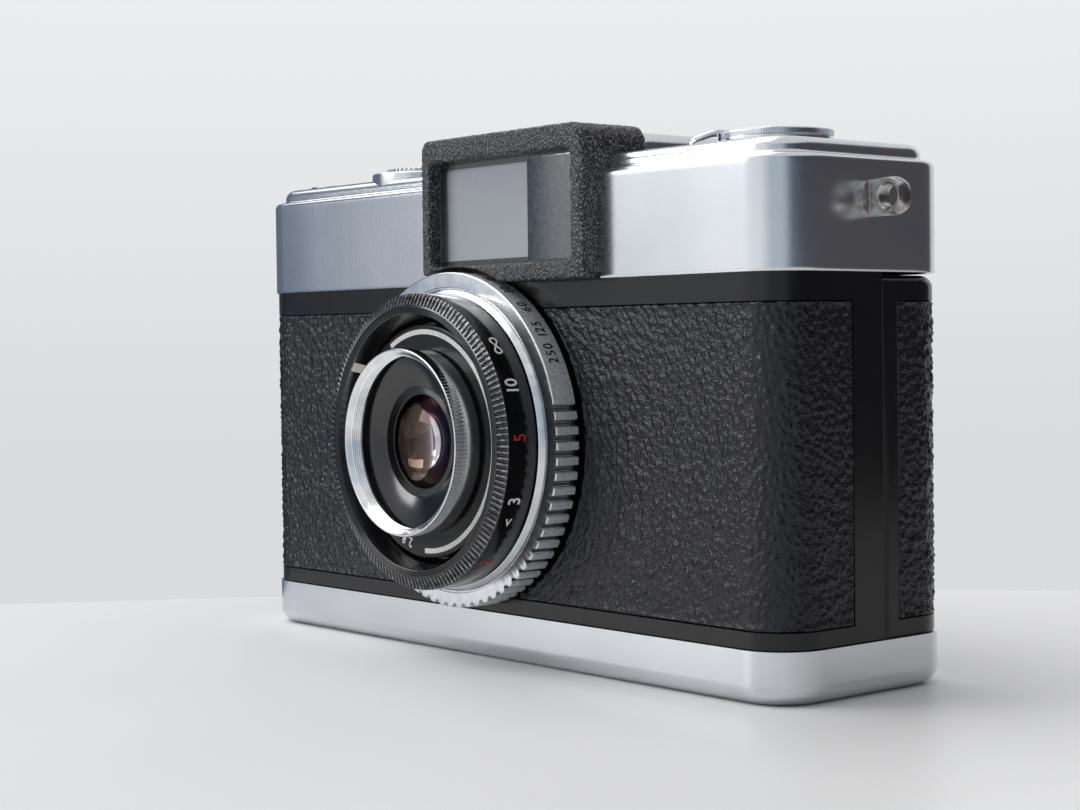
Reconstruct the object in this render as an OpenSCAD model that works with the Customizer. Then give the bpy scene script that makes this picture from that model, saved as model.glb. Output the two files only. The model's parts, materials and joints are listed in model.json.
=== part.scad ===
// Half frame camera for 35 mm film, with a leaf shutter lens and a slide-off back.
// Origin: mouth of the tripod socket, under the lens axis. +Z up, the lens looks along -Y.

/* [Body] */
// Width of the body over the top cover
body_w = 108; // [104:0.5:114]
// Depth of the body from front face to back face
body_d = 31; // [30:0.5:34]
// Corner radius of the body seen from above
corner_r = 6.5; // [5.5:0.25:8]
// Distance from the lens axis to the middle of the body
lens_off = 2.3; // [1.5:0.1:3]
// Height of the base plate
base_h = 6.4; // [6:0.1:7.2]
// Height of the lower rim of the top cover
cover_z = 49.7; // [49:0.1:51]
// Height of the ledge round the top cover
ledge_z = 63.2; // [62.6:0.1:64]
// Height of the raised plateau of the top cover
plateau_z = 65.2; // [64.9:0.1:66]
// Thickness of the sheet metal of the top cover
sheet = 1; // [0.8:0.1:1.2]
// Thickness of the walls of the back shell
shell_t = 1.2; // [1:0.1:1.4]
// Radius of the rounded lower edge of the base plate
base_fillet = 2.3; // [1.5:0.1:3]
// Radius of the edge of the top cover
cover_fillet = 0.8; // [0.5:0.1:1.2]
// Width of the ledge round the plateau
ledge_w = 1.6; // [1.2:0.1:2]
// Radius of the edge of the plateau
plateau_fillet = 1.4; // [0.8:0.1:1.6]
// Depth of the seam between casting and back, from the middle of the body
seam_y = 2; // [1:0.1:3]
// Height of the cast deck that carries the gears and the finder
deck_z = 53.2; // [52.9:0.1:54]
// Thickness of the cast deck
deck_t = 1.6; // [1.4:0.1:2]

/* [Covering] */
// Thickness of the leatherette
leather_t = 0.5; // [0.4:0.1:0.7]
// Height of the lower edge of the leatherette
leather_z0 = 8.5; // [8:0.1:9.5]
// Height of the upper edge of the leatherette
leather_z1 = 46.4; // [45:0.1:47.5]
// How far the front leatherette wraps round the ends, from the middle of the body
wrap_y = -3.1; // [-5:0.1:-2]
// Margin of black paint between the seam and the back leatherette
back_margin = 2.6; // [1.5:0.1:4]

/* [Fits] */
// Gap between parts that move past each other
gap = 0.3; // [0.2:0.05:0.4]
// Radial running clearance of shafts in their bores
run = 0.05; // [0.03:0.01:0.08]

/* [Finder] */
// Width of the black finder frame
finder_w = 33.2; // [31:0.2:34]
// Left end of the finder frame, from the lens axis
finder_x0 = -7.1; // [-8:0.1:-6]
// Height of the top of the finder frame
finder_z = 69; // [68.4:0.1:70]
// How far the finder frame stands out in front of the body
finder_proud = 3; // [2.4:0.1:3.4]
// Depth of the finder frame behind the front face
finder_depth = 8.2; // [7:0.1:9]
// Side border of the finder window
finder_side = 2.3; // [2:0.1:3]
// Lower border of the finder window
finder_sill = 2.4; // [2:0.1:3]
// Upper border of the finder window
finder_lintel = 3.2; // [2.8:0.1:4]
// Thickness of the finder glass
finder_glass = 1; // [0.8:0.1:1.4]
// How far the glass lies behind the front of the frame
finder_recess = 1.8; // [1.2:0.1:2.4]
// Width of the frosted part of the window
diffuser_w = 18.4; // [16:0.2:19]
// Height of the rear hump behind the frame
hump_z = 68.3; // [67.6:0.1:68.8]
// Eyepiece opening, width
eyepiece_w = 10; // [8:0.2:11]
// Eyepiece opening, height
eyepiece_h = 7; // [6:0.2:8]
// Height of the finder axis
finder_axis_z = 59; // [58.4:0.1:59.6]

/* [Lens] */
// Height of the lens axis
lens_z = 29.2; // [29:0.1:29.6]
// Radius of the shutter speed ring
speed_r = 22.1; // [21.6:0.1:22.4]
// Distance of the speed ring's front edge from the body
speed_h = 4; // [3.6:0.1:4.4]
// Height of the speed ring's inner lip above its front edge
speed_lip = 0.6; // [0.4:0.1:0.8]
// Width of the speed ring's front, from its rim to its inner lip
speed_land = 2.7; // [2.4:0.1:2.9]
// Pitch of the ridges of the speed ring in degrees
ridge_step = 5; // [4:0.5:6]
// Depth of the grooves between the ridges
ridge_cut = 0.6; // [0.3:0.1:0.7]
// Width of the focus ring's knurled bevel
knurl_w = 1.7; // [1.5:0.1:2]
// Distance from the body at which the focus ring's knurled bevel starts
knurl_h = 9.3; // [9.1:0.1:9.5]
// Distance of the focus ring's front rim from the body
focus_h = 10; // [9.6:0.1:10.3]
// Width of the focus ring's front rim
focus_rim = 0.9; // [0.6:0.1:1.1]
// Share of the room between the lens barrel and the focus ring's band that the aperture scale plate takes
plate_share = 0.54; // [0.5:0.01:0.55]
// Distance of the aperture scale plate's face from the body
plate_h = 7.8; // [7.75:0.05:8]
// Thickness of the aperture scale plate
plate_t = 0.5; // [0.4:0.05:0.5]
// Radius of the knurled rim of the filter ring
filter_r = 12.2; // [11.9:0.05:12.4]
// Radius of the filter thread
thread_r = 11.25; // [11.1:0.05:11.3]
// Depth of the filter thread
thread_l = 2.3; // [2:0.1:2.4]
// Distance of the filter ring's front from the body
filter_h = 12.1; // [12:0.1:12.4]
// Radius of the lens barrel
barrel_r = 9.5; // [9.3:0.1:9.6]
// Radius of the front glass
glass_r = 6.15; // [5.9:0.05:6.4]
// Travel of the lens from nearest focus to infinity
focus_travel = 1.57; // [1.5:0.01:1.6]

/* [Blades] */
// Inner radius of the iris blades, which is the full aperture
iris_r = 5.2; // [5:0.1:5.4]
// Width of the iris blades
iris_w = 3; // [2.8:0.1:3.1]
// Swing of the iris blades from full to smallest aperture
iris_swing = 39.2; // [38:0.2:39.6]
// Inner radius of the shutter blades
shutter_r = 4.2; // [4:0.1:4.4]
// Width of the shutter blades
shutter_w = 4; // [3.8:0.1:4.1]
// Swing of the shutter blades from shut to open
shutter_swing = 56; // [54:0.5:58]
// Thickness of a blade
blade_t = 0.15; // [0.12:0.01:0.16]
// Spacing of the blades along the axis
blade_step = 0.25; // [0.24:0.01:0.28]

/* [Film path] */
// Radius of the film cassette chamber
cassette_r = 12.8; // [12.7:0.05:12.9]
// Distance of the cassette axis from the end of the body
cassette_in = 14.5; // [14.3:0.1:14.8]
// Depth of the cassette axis
cassette_y = -0.8; // [-1:0.1:-0.6]
// Width of the picture
picture_w = 18; // [17:0.5:18]
// Height of the picture
picture_h = 24; // [23:0.5:25]
// Depth of the film plane
film_y = 9; // [8.8:0.1:9.2]
// Height of the film rails
rail_t = 0.4; // [0.3:0.1:0.6]
// Distance of the take-up spool's axis from the end of the body
spool_in = 14.7; // [14.3:0.1:15.1]
// Depth of the take-up spool axis
spool_y = -2; // [-2.2:0.1:-1.8]
// Radius of the take-up spool's flanges
spool_r = 10.8; // [10:0.1:11]
// Thickness of the pressure plate
pressure_t = 1.2; // [1:0.1:1.4]
// Travel of the pressure plate
pressure_travel = 0.8; // [0.6:0.1:1]

/* [Controls] */
// Module of the gears
gear_m = 0.6; // [0.58:0.01:0.61]
// Teeth of each gear
gear_n = 18; // [17:1:18]
// Thickness of the gears
gear_t = 1.6; // [1.4:0.1:1.7]
// Radius of the film advance wheel
advance_r = 11.4; // [11:0.1:11.8]
// Depth of the film advance wheel's axis
advance_y = 5.2; // [5:0.1:5.3]
// Thickness of the film advance wheel
advance_t = 4; // [3.4:0.2:4.4]
// Radius of the rewind knob
rewind_r = 7.2; // [6.8:0.1:7.6]
// Thickness of the rewind knob
rewind_t = 1.6; // [1.5:0.1:1.9]
// Radius of the rewind shaft
rewind_shaft_r = 2.6; // [2.4:0.1:2.7]
// Lift of the rewind shaft
rewind_lift = 6; // [5:0.5:6.5]
// Width of the rewind crank
crank_w = 4; // [3.6:0.1:4.4]
// How far the crank's tip stands out past the knob
crank_tip = 3.4; // [3:0.1:3.8]
// Radius of the release button
release_r = 3; // [2.8:0.1:3.2]
// Travel of the release button
release_travel = 2; // [1.6:0.1:2.2]
// Radius of the cable release socket in the button
cable_r = 1.5; // [1.4:0.1:1.8]
// Depth of the cable release socket
cable_l = 2.4; // [2:0.1:2.8]
// Radius of the frame counter dial
counter_r = 5; // [4.6:0.1:5.4]
// Radius of the strap lugs
lug_r = 2.25; // [2.1:0.05:2.4]
// How far the strap lugs stand out
lug_l = 5; // [4.6:0.1:5.4]
// Height of the strap lugs
lug_z = 58.3; // [58:0.1:58.8]
// Thickness of a strap lug between its flats
lug_t = 2.1; // [1.9:0.1:2.4]
// Radius of the hole in a strap lug
lug_hole_r = 1.4; // [1.2:0.05:1.5]
// Radius of the tripod socket's thread
tripod_r = 3.175; // [3.1:0.025:3.3]
// Depth of the tripod socket
tripod_l = 4.8; // [4.5:0.1:5]
// Radius of the back lock's key
key_r = 6; // [5.6:0.1:6.4]

/* [Hidden] */
$fn = 96;
over = 1;
body_cx = lens_off;
y_front = -body_d / 2;
y_back = body_d / 2;
x_left = body_cx - body_w / 2;
x_right = body_cx + body_w / 2;
skin = 0.3;
leather_face = 0.2;
recess = leather_face + leather_t;
shoulder_z = base_h + gap / 2;
tray_floor = 2;
tray_wall = 1.2;
foot_inset = tray_wall + gap;
foot_z = tray_floor + gap;
foot_t = 1.4;
cast_wall = 1.6;
shell_top = cover_z - gap;
deck_low = deck_z - deck_t;
deck_inset = sheet + 0.1;
floor_low = 7;
floor_top = 9;
gate_y = film_y - rail_t;
cassette_x = x_right - cassette_in;
spool_x = x_left + spool_in;
gate_x1 = cassette_x - cassette_r - 0.4;

finder_x1 = finder_x0 + finder_w;
finder_y0 = y_front - finder_proud;
finder_y1 = y_front + finder_depth;
window_x0 = finder_x0 + finder_side;
window_x1 = finder_x1 - finder_side;
window_z0 = cover_z + finder_sill;
window_z1 = finder_z - finder_lintel;
glass_y = finder_y0 + finder_recess;
eye_x = (window_x0 + diffuser_w + window_x1) / 2;
bezel_border = 2;
bezel_l = 2;
chassis_t = 0.8;
chassis_y0 = finder_y1 + 0.5;
chassis_y1 = y_back - 3 * sheet - gap;
optic_top = window_z1 - 1;
optic_room = window_x1 - gap - chassis_t - window_x0 - diffuser_w;
optic_x = window_x0 + diffuser_w + optic_room / 2;
plate_w = sqrt(2) * (optic_room - 2 * gap) - finder_glass;
plate_y = chassis_y1 - 9;
objective_y = chassis_y0 + 0.4;
objective_t = 2;
objective_r = 18.6;
objective_min = 1.4;

lip_r = speed_r - speed_land;
drum_r = lip_r - 0.8;
drum_h = speed_h + speed_lip;
focus_back = drum_h + gap;
scale_r = lip_r - 0.1;
flange_h = plate_h - plate_t - focus_travel - gap;
focus_r = scale_r - knurl_w;
skirt_r = barrel_r + 1.1;
plate_r = skirt_r + plate_share * (scale_r - skirt_r);
neck_r = plate_r - 2.1;
boss_r = neck_r + 0.2;
boss_l = 4;
front_wall_y = y_front + recess + cast_wall;
cell_h0 = 3.8;
cell_h1 = filter_h - thread_l - 1.6;
name_h = cell_h1 + 1.1;
name_in = 1.15;
name_step = 0.4;
web_h0 = 1.5;
web_h1 = 2.2;
rear_h1 = 0.4;
rear_h0 = -5.5;
blade_room = barrel_r - 0.9;
blade_pin_r = 0.5;
iris_count = 5;
shutter_count = 3;
iris_arc = 95;
shutter_arc = 90;
bore_r = iris_r - 0.4;
glass_dome = 12;
glass_back = cell_h0 + 2.8;

gear_r = gear_m * gear_n / 2;
gear_z = deck_z + 0.8;
axle_r = 1.5;
centres = 2 * gear_r;
advance_x = spool_x + sqrt(centres * centres - (advance_y - spool_y) * (advance_y - spool_y));
sprocket_r = 5.9;
sprocket_y = film_y - sprocket_r + 0.1;
sprocket_x = advance_x + sqrt(centres * centres - (advance_y - sprocket_y) * (advance_y - sprocket_y));
spool_angle = atan2(spool_y - advance_y, spool_x - advance_x);
sprocket_angle = atan2(sprocket_y - advance_y, sprocket_x - advance_x);
tooth_step = 360 / gear_n;
wheel_z = gear_z + gear_t + 0.4;
wheel_in = y_back - sheet - advance_y;
wheel_slot = sqrt(advance_r * advance_r - wheel_in * wheel_in) + 2 * gap;
well_r = sprocket_r + 1.8;
sprocket_n = 8;
row_z = 14.2;
film_half = 17.5;
rail_w = 1.4;
leaf_t = 0.3;
leaf_h = 10;
leaf_x = 10;
spool_room = spool_r + 1.8;
counter_x = spool_x + 15;
counter_y = y_front + 8.7;
counter_axle = 1.4;
bezel_r = counter_r + 2;
bezel_h = 0.95;
dial_t = 0.5;
lug_round = 1.6;
lug_eye = 1.8;
lug_foot = 0.5;
release_x = spool_x - 4;
release_y = spool_y - 6;
release_top = plateau_z + 0.4;
release_low = plateau_z - sheet - 2.8;
post_r = 1.1;
seat_r = 2.2;
seat_z = gear_z + gear_t + 0.4;
seat_t = 0.6;
spring_r = 1.9;
spring_wire = 0.2;
spring_turns = 5;
sleeve_r = 4.2;
sleeve_h = 3;
knob_z = plateau_z + gap;
fork_z = leather_z1 - 0.6;
fork_slot = 1.6;
crank_t = 0.9;
crank_pin_r = 0.35;
knuckle_r = 0.75;
crank_z = knob_z + rewind_t - crank_t / 2;
crank_pivot = rewind_r - 1.4;
crank_turn = 50;
crank_slot = crank_w + gap;
bush_r = tripod_r + 2.2;
key_x = spool_x + 3;
key_y = 0;
key_t = 1.3;
key_proud = 0.1;
key_shaft = 2.4;
key_reach = key_r + 3;
finger_z = 4.4;
finger_t = 1.1;
finger_w = 3;
keeper_t = 1.1;
keeper_w = 4;
wing_t = 0.4;
wing_r = key_r - 0.9;
wing_z = 0.4;
wing_pin_r = 0.2;
wing_knuckle = 0.4;
button_r = 1.9;
button_travel = 1.2;

// Box between two corners
module span(a, b) {
    translate(a) cube(b - a);
}

// Outline of the body seen from above, set in from the widest outline
module plan(inset) {
    w = body_w - 2 * inset;
    d = body_d - 2 * inset;
    r = corner_r - inset;
    translate([body_cx, 0]) {
        square([w - 2 * r, d], center = true);
        square([w, d - 2 * r], center = true);
        for (sx = [-1, 1], sy = [-1, 1]) {
            translate([sx * (w / 2 - r), sy * (d / 2 - r)]) circle(r);
        }
    }
}

// Upright slab on the body's outline
module slab(inset, z0, z1) {
    translate([0, 0, z0]) linear_extrude(z1 - z0) plan(inset);
}

// Half space slab that keeps what lies in front of, or behind, a depth
module front_of(y, z0, z1) {
    span([x_left - over, y_front - 2 * over, z0], [x_right + over, y, z1]);
}

module behind(y, z0, z1) {
    span([x_left - over, y, z0], [x_right + over, y_back + 2 * over, z1]);
}

// Section of a rim with one rounded corner, on top or below
module rim_section(r, z0, z1, f) {
    translate([0, z0]) square([r, z1 - f - z0]);
    translate([0, z0]) square([r - f, z1 - z0]);
    translate([r - f, z1 - f]) circle(f);
}

// Slab on the body's outline with a rounded upper edge
module rounded_slab(inset, z0, z1, f) {
    w = body_w - 2 * inset;
    d = body_d - 2 * inset;
    r = corner_r - inset;
    a = w / 2 - r;
    b = d / 2 - r;
    translate([body_cx, 0, 0]) {
        translate([-a, -b, z0]) cube([2 * a, 2 * b, z1 - z0]);
        for (turn = [0, 180]) rotate([0, 0, turn]) {
            translate([a, b, 0]) rotate([90, 0, 0]) linear_extrude(2 * b) rim_section(r, z0, z1, f);
            translate([-a, b, 0]) rotate([90, 0, 90]) linear_extrude(2 * a) rim_section(r, z0, z1, f);
            translate([a, b, 0]) rotate_extrude(angle = 90) rim_section(r, z0, z1, f);
            translate([-a, b, 0]) rotate([0, 0, 90]) rotate_extrude(angle = 90) rim_section(r, z0, z1, f);
        }
    }
}

// Rectangle with rounded corners, low corner to high corner
module soft_rect(a, b, r) {
    translate([a[0] + r, a[1]]) square([b[0] - a[0] - 2 * r, b[1] - a[1]]);
    translate([a[0], a[1] + r]) square([b[0] - a[0], b[1] - a[1] - 2 * r]);
    for (x = [a[0] + r, b[0] - r], y = [a[1] + r, b[1] - r]) translate([x, y]) circle(r);
}

// Front view shapes pushed from depth y0 back to y1
module pushed(y0, y1) {
    translate([0, y1, 0]) rotate([90, 0, 0]) linear_extrude(y1 - y0) children();
}

// Frame of the lens: local z is the distance in front of the body
module on_lens(h = 0) {
    translate([0, y_front - h, lens_z]) rotate([90, 0, 0]) children();
}

// Ring on the local z axis
module ring(r0, r1, h0, h1) {
    translate([0, 0, h0]) difference() {
        cylinder(r = r1, h = h1 - h0);
        translate([0, 0, -over]) cylinder(r = r0, h = h1 - h0 + 2 * over);
    }
}

// Upright cylinder at a place
module post(x, y, z0, z1, r) {
    translate([x, y, z0]) cylinder(r = r, h = z1 - z0);
}

// Spur gear with slim teeth; phase is the direction of one tooth
module gear(phase) {
    tip = gear_r + 0.8 * gear_m;
    root = gear_r - 1.25 * gear_m;
    half = 0.19 * PI * gear_m;
    difference() {
        union() {
            cylinder(r = root, h = gear_t);
            for (i = [0:gear_n - 1]) rotate([0, 0, phase + i * tooth_step]) linear_extrude(gear_t)
                polygon([[root - 0.3, -1.5 * half], [gear_r, -half], [tip, -0.5 * half],
                         [tip, 0.5 * half], [gear_r, half], [root - 0.3, 1.5 * half]]);
        }
        translate([0, 0, -over]) cylinder(r = axle_r, h = gear_t + 2 * over);
    }
}

// Crescent blade lying on a circle round the lens axis, with its pivot on the local x axis
module blade(r_in, w, arc, shut) {
    mid = r_in + w / 2;
    far = 2 * (r_in + w);
    translate([mid, 0]) rotate([0, 0, shut]) translate([-mid, 0]) linear_extrude(blade_t) difference() {
        union() {
            intersection() {
                difference() {
                    circle(r_in + w);
                    circle(r_in);
                }
                polygon([[0, 0], [far, 0], [far * cos(arc / 2), far * sin(arc / 2)],
                         [far * cos(arc), far * sin(arc)]]);
            }
            translate([mid, 0]) circle(w / 2);
            rotate([0, 0, arc]) translate([mid, 0]) circle(w / 2);
        }
        translate([mid, 0]) circle(blade_pin_r + run);
    }
}

// Points of a coil spring's tube and the tube itself
module coil(r, wire, turns, height) {
    sides = 6;
    per_turn = 12;
    n = turns * per_turn;
    pts = [for (i = [0:n], k = [0:sides - 1])
        let (a = i * 360 / per_turn, b = k * 360 / sides, rr = r + wire * cos(b))
        [rr * cos(a), rr * sin(a), wire + (height - 2 * wire) * i / n + wire * sin(b)]];
    walls = [for (i = [0:n - 1], k = [0:sides - 1])
        let (a = i * sides + k, b = i * sides + (k + 1) % sides)
        each [[a, a + sides, b], [b, a + sides, b + sides]]];
    first = [for (k = [1:sides - 2]) [0, k, k + 1]];
    last = [for (k = [1:sides - 2]) [n * sides, n * sides + k + 1, n * sides + k]];
    polyhedron(pts, concat(walls, first, last));
}

// Die-cast body: front wall and ends, film chambers, film gate, deck and foot
module casting() difference() {
    union() {
        intersection() {
            slab(skin, shoulder_z, cover_z);
            front_of(seam_y, 0, cover_z + over);
        }
        span([spool_x + spool_room - 3, 0, shoulder_z], [gate_x1, gate_y, deck_low + over]);
        slab(deck_inset, deck_low, deck_z);
        intersection() {
            slab(deck_inset, cover_z - over, deck_z);
            front_of(seam_y - gap, 0, deck_z);
        }
        intersection() {
            difference() {
                slab(foot_inset, foot_z, shoulder_z + over);
                slab(foot_inset + foot_t, 0, shoulder_z);
            }
            front_of(seam_y - gap, 0, shoulder_z + over);
        }
    }
    post(cassette_x, cassette_y, 0, deck_low, cassette_r);
    span([cassette_x - cassette_r, cassette_y, 0], [cassette_x + cassette_r, y_back, deck_low]);
    post(spool_x, spool_y, floor_top, deck_low, spool_room);
    span([spool_x - spool_room, spool_y, floor_top], [spool_x + spool_room, y_back, deck_low]);
    post(sprocket_x, sprocket_y, floor_top, deck_low, well_r);
    span([sprocket_x - well_r, sprocket_y, floor_top], [sprocket_x + well_r, y_back, deck_low]);
    span([x_left + foot_inset + foot_t, y_front + foot_inset + foot_t, 0],
         [spool_x + spool_room, y_back, floor_low]);
    on_lens() translate([0, 0, -boss_l - 2 - cast_wall]) cylinder(r = boss_r + 1, h = boss_l + 2 - recess);
    on_lens() translate([0, 0, -boss_l]) cylinder(r = boss_r + run, h = boss_l + 2);
    on_lens() translate([0, 0, -recess]) cylinder(r = drum_r + run, h = recess + over);
    span([-picture_w / 2, front_wall_y + 3, lens_z - picture_h / 2],
         [picture_w / 2, y_back, lens_z + picture_h / 2]);
    span([finder_x0 - gap, y_front - over, cover_z], [finder_x1 + gap, finder_y1 + gap, deck_z + over]);
    difference() {
        slab(-over, leather_z0, leather_z1);
        slab(recess, 0, cover_z);
        behind(wrap_y, 0, cover_z);
    }
    post(cassette_x, cassette_y, deck_low - over, deck_z + over, rewind_shaft_r + run);
    post(spool_x, spool_y, 0, deck_z + over, axle_r + run);
    post(sprocket_x, sprocket_y, 0, deck_z + over, axle_r + run);
    post(advance_x, advance_y, deck_low - over, deck_z + over, axle_r + run);
}

// Hook under the floor that the key's finger turns over
module keeper() {
    tip = key_y - key_reach - gap;
    span([key_x - keeper_w / 2, tip - keeper_t, finger_z - gap - keeper_t],
         [key_x + keeper_w / 2, tip, floor_low + over]);
    span([key_x - keeper_w / 2, tip - keeper_t, finger_z - gap - keeper_t],
         [key_x + keeper_w / 2, tip + 2, finger_z - gap]);
}

module body_casting() color("#17181a") {
    casting();
    keeper();
}

// Leatherette round the front and the ends, open round the lens
module front_leatherette() color("#1c1c1e") difference() {
    intersection() {
        slab(leather_face, leather_z0, leather_z1);
        front_of(wrap_y, 0, cover_z);
    }
    slab(recess, 0, cover_z);
    on_lens() cylinder(r = speed_r + gap, h = 4 * over, center = true);
}

// Rear hump over the finder, seen from the front
module hump_section(inset) {
    soft_rect([finder_x0 + 0.6 + inset, cover_z + sheet], [finder_x1 - 0.6 - inset, hump_z - inset], 2);
}

// Satin chrome top cover
module top_cover() color("#c9cbce") difference() {
    union() {
        rounded_slab(0, cover_z, ledge_z, cover_fillet);
        rounded_slab(ledge_w, ledge_z - over, plateau_z, plateau_fillet);
        pushed(finder_y1, y_back - 2 * sheet) hump_section(0);
    }
    slab(sheet, cover_z - over, ledge_z - sheet);
    slab(ledge_w + sheet, ledge_z - 2 * sheet, plateau_z - sheet);
    pushed(finder_y1 - over, y_back - 3 * sheet) hump_section(sheet);
    span([finder_x0, y_front - over, cover_z - over], [finder_x1, finder_y1, finder_z + over]);
    span([eye_x - eyepiece_w / 2 - chassis_t, 0, finder_axis_z - eyepiece_h / 2 - chassis_t],
         [eye_x + eyepiece_w / 2 + chassis_t, y_back + over, finder_axis_z + eyepiece_h / 2 + chassis_t]);
    span([advance_x - wheel_slot, y_back - 2 * sheet, wheel_z - gap],
         [advance_x + wheel_slot, y_back + over, wheel_z + advance_t + gap]);
    post(cassette_x, cassette_y, ledge_z, plateau_z + over, rewind_shaft_r + run);
    post(release_x, release_y, ledge_z, plateau_z + over, release_r + run);
    post(counter_x, counter_y, ledge_z, plateau_z + over, counter_axle + run);
    for (x = [x_left, x_right]) translate([x, 0, lug_z]) rotate([0, 90, 0])
        cylinder(r = lug_r / 2, h = 4 * sheet, center = true);
}

// Room that the finder leaves for the speed ring
module ring_room() on_lens() cylinder(r = speed_r + 2 * gap, h = finder_proud + over);

// Wrinkle-painted frame round the finder window
module finder_frame() color("#202022") difference() {
    intersection() {
        pushed(finder_y0, finder_y1) union() {
            soft_rect([finder_x0, cover_z], [finder_x1, finder_z], 2.2);
            translate([finder_x0, cover_z]) square([finder_w, 2.5]);
        }
        translate([0, 0, cover_z - over]) linear_extrude(finder_z) union() {
            soft_rect([finder_x0, finder_y0], [finder_x1, finder_y1], 1.2);
            translate([finder_x0, y_front]) square([finder_w, finder_depth]);
        }
    }
    pushed(finder_y0 - over, finder_y1 + over)
        soft_rect([window_x0, window_z0], [window_x1, window_z1], 0.8);
    ring_room();
}

// Clear window
module finder_window() color("#9fb0b8", 0.4) difference() {
    pushed(glass_y, glass_y + finder_glass) soft_rect([window_x0, window_z0], [window_x1, window_z1], 0.8);
    ring_room();
}

// Frosted plate that lights the bright frame
module finder_diffuser() color("#d8dcdf") span(
    [window_x0, glass_y + finder_glass, window_z0 + 0.8],
    [window_x0 + diffuser_w, glass_y + 2 * finder_glass, window_z1 - 0.8]);

// Open box that carries the finder optics on the deck
module finder_chassis() color("#26272a") difference() {
    span([window_x0 + diffuser_w - chassis_t, chassis_y0, deck_z],
         [window_x1 - gap, chassis_y1, optic_top]);
    span([window_x0 + diffuser_w, chassis_y0 - over, deck_z + chassis_t],
         [window_x1 - gap - chassis_t, chassis_y1 + over, optic_top + over]);
    span([window_x0, chassis_y0 + 4, finder_axis_z - 3], [eye_x, chassis_y1 - 4, finder_axis_z + 3]);
}

// Front lens of the finder, hollowed
module finder_objective() color("#a8b8c0", 0.5) difference() {
    span([window_x0 + diffuser_w, objective_y, deck_z + chassis_t],
         [window_x1 - gap - chassis_t, objective_y + objective_t, optic_top]);
    translate([eye_x, objective_y + objective_min + objective_r, finder_axis_z]) sphere(r = objective_r);
}

// Upright plate turned by 45 degrees, standing at z0
module slanted_plate(x, z0) {
    translate([x, plate_y, z0]) rotate([0, 0, 45]) translate([-plate_w / 2, -finder_glass / 2, 0])
        cube([plate_w, finder_glass, optic_top - z0]);
}

// Half-silvered plate that mixes the bright frame into the view
module beam_splitter() color("#b8c4c8", 0.6) slanted_plate(optic_x, deck_z + chassis_t);

// Mirror that turns the light of the frosted plate to the side
module frame_mirror() color("#cfd3d6") slanted_plate(window_x0 + diffuser_w / 2, deck_z);

// Black bezel of the eyepiece
module eyepiece_bezel() color("#141416") difference() {
    union() {
        pushed(y_back, y_back + bezel_l / 2) soft_rect(
            [eye_x - eyepiece_w / 2 - bezel_border, finder_axis_z - eyepiece_h / 2 - bezel_border],
            [eye_x + eyepiece_w / 2 + bezel_border, finder_axis_z + eyepiece_h / 2 + bezel_border], 1.5);
        span([eye_x - eyepiece_w / 2 - chassis_t, y_back - bezel_l,
              finder_axis_z - eyepiece_h / 2 - chassis_t],
             [eye_x + eyepiece_w / 2 + chassis_t, y_back, finder_axis_z + eyepiece_h / 2 + chassis_t]);
    }
    span([eye_x - eyepiece_w / 2, 0, finder_axis_z - eyepiece_h / 2],
         [eye_x + eyepiece_w / 2, y_back + bezel_l, finder_axis_z + eyepiece_h / 2]);
}

// Eyepiece lens in its bezel
module eyepiece_lens() color("#a8b8c0", 0.5) intersection() {
    span([eye_x - eyepiece_w / 2, y_back - bezel_l, finder_axis_z - eyepiece_h / 2],
         [eye_x + eyepiece_w / 2, y_back, finder_axis_z + eyepiece_h / 2]);
    translate([eye_x, y_back - 30, finder_axis_z]) sphere(r = 30, $fn = 360);
}

// Studs for a strap with a round end, flattened in front and behind and cross drilled
module strap_lugs() color("#b9babb") for (side = [-1, 1]) {
    translate([side > 0 ? x_right : x_left, 0, lug_z]) rotate([0, 90 * side, 0]) difference() {
        union() {
            rotate_extrude() intersection() {
                rim_section(lug_r, 0, lug_l, lug_round);
                square([lug_r, lug_l]);
            }
            translate([0, 0, -2 * sheet]) cylinder(r = lug_r / 2, h = 2 * sheet + over);
        }
        for (s = [-1, 1]) translate([-lug_r - over, s > 0 ? lug_t / 2 : -lug_t / 2 - lug_r, lug_foot])
            cube([2 * lug_r + 2 * over, lug_r, lug_l]);
        translate([0, 0, lug_l - lug_eye]) rotate([90, 0, 0])
            cylinder(r = lug_hole_r, h = 4 * lug_r, center = true);
    }
}

// Fixed drum of the shutter with the neck that carries the lens
module shutter_housing() color("#1d1d1f") on_lens() difference() {
    union() {
        translate([0, 0, -recess]) cylinder(r = drum_r, h = drum_h + recess);
        translate([0, 0, -boss_l]) cylinder(r = boss_r, h = boss_l);
        cylinder(r = neck_r, h = flange_h);
    }
    translate([0, 0, -boss_l - over]) cylinder(r = barrel_r + run, h = boss_l + flange_h + 2 * over);
}

// Threaded ring that clamps the drum from inside
module shutter_retainer() color("#8d8f92") on_lens()
    ring(boss_r, boss_r + 0.8, -boss_l, -recess - cast_wall);

// Polished rails above and below the picture
module film_rails() color("#b4b6b8") for (s = [-1, 1], d = [picture_h / 2 + 0.8, picture_h / 2 + 4.2])
    span([sprocket_x + well_r, gate_y, lens_z + s * d - rail_w / 2],
         [gate_x1, film_y, lens_z + s * d + rail_w / 2]);

// Collar round the release button
module release_collar() color("#c4c6c9") translate([release_x, release_y, 0])
    ring(release_r + run, release_r + 1.2, plateau_z, plateau_z + 0.25);

// Post and seat under the release spring
module release_post() color("#8d8f92") {
    post(release_x, release_y, deck_z, seat_z, post_r);
    post(release_x, release_y, seat_z, seat_z + seat_t, seat_r);
}

// Fixed ring under the frame counter
module counter_bezel() color("#c4c6c9") translate([counter_x, counter_y, 0])
    ring(counter_axle + run, bezel_r, plateau_z, plateau_z + bezel_h);

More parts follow.
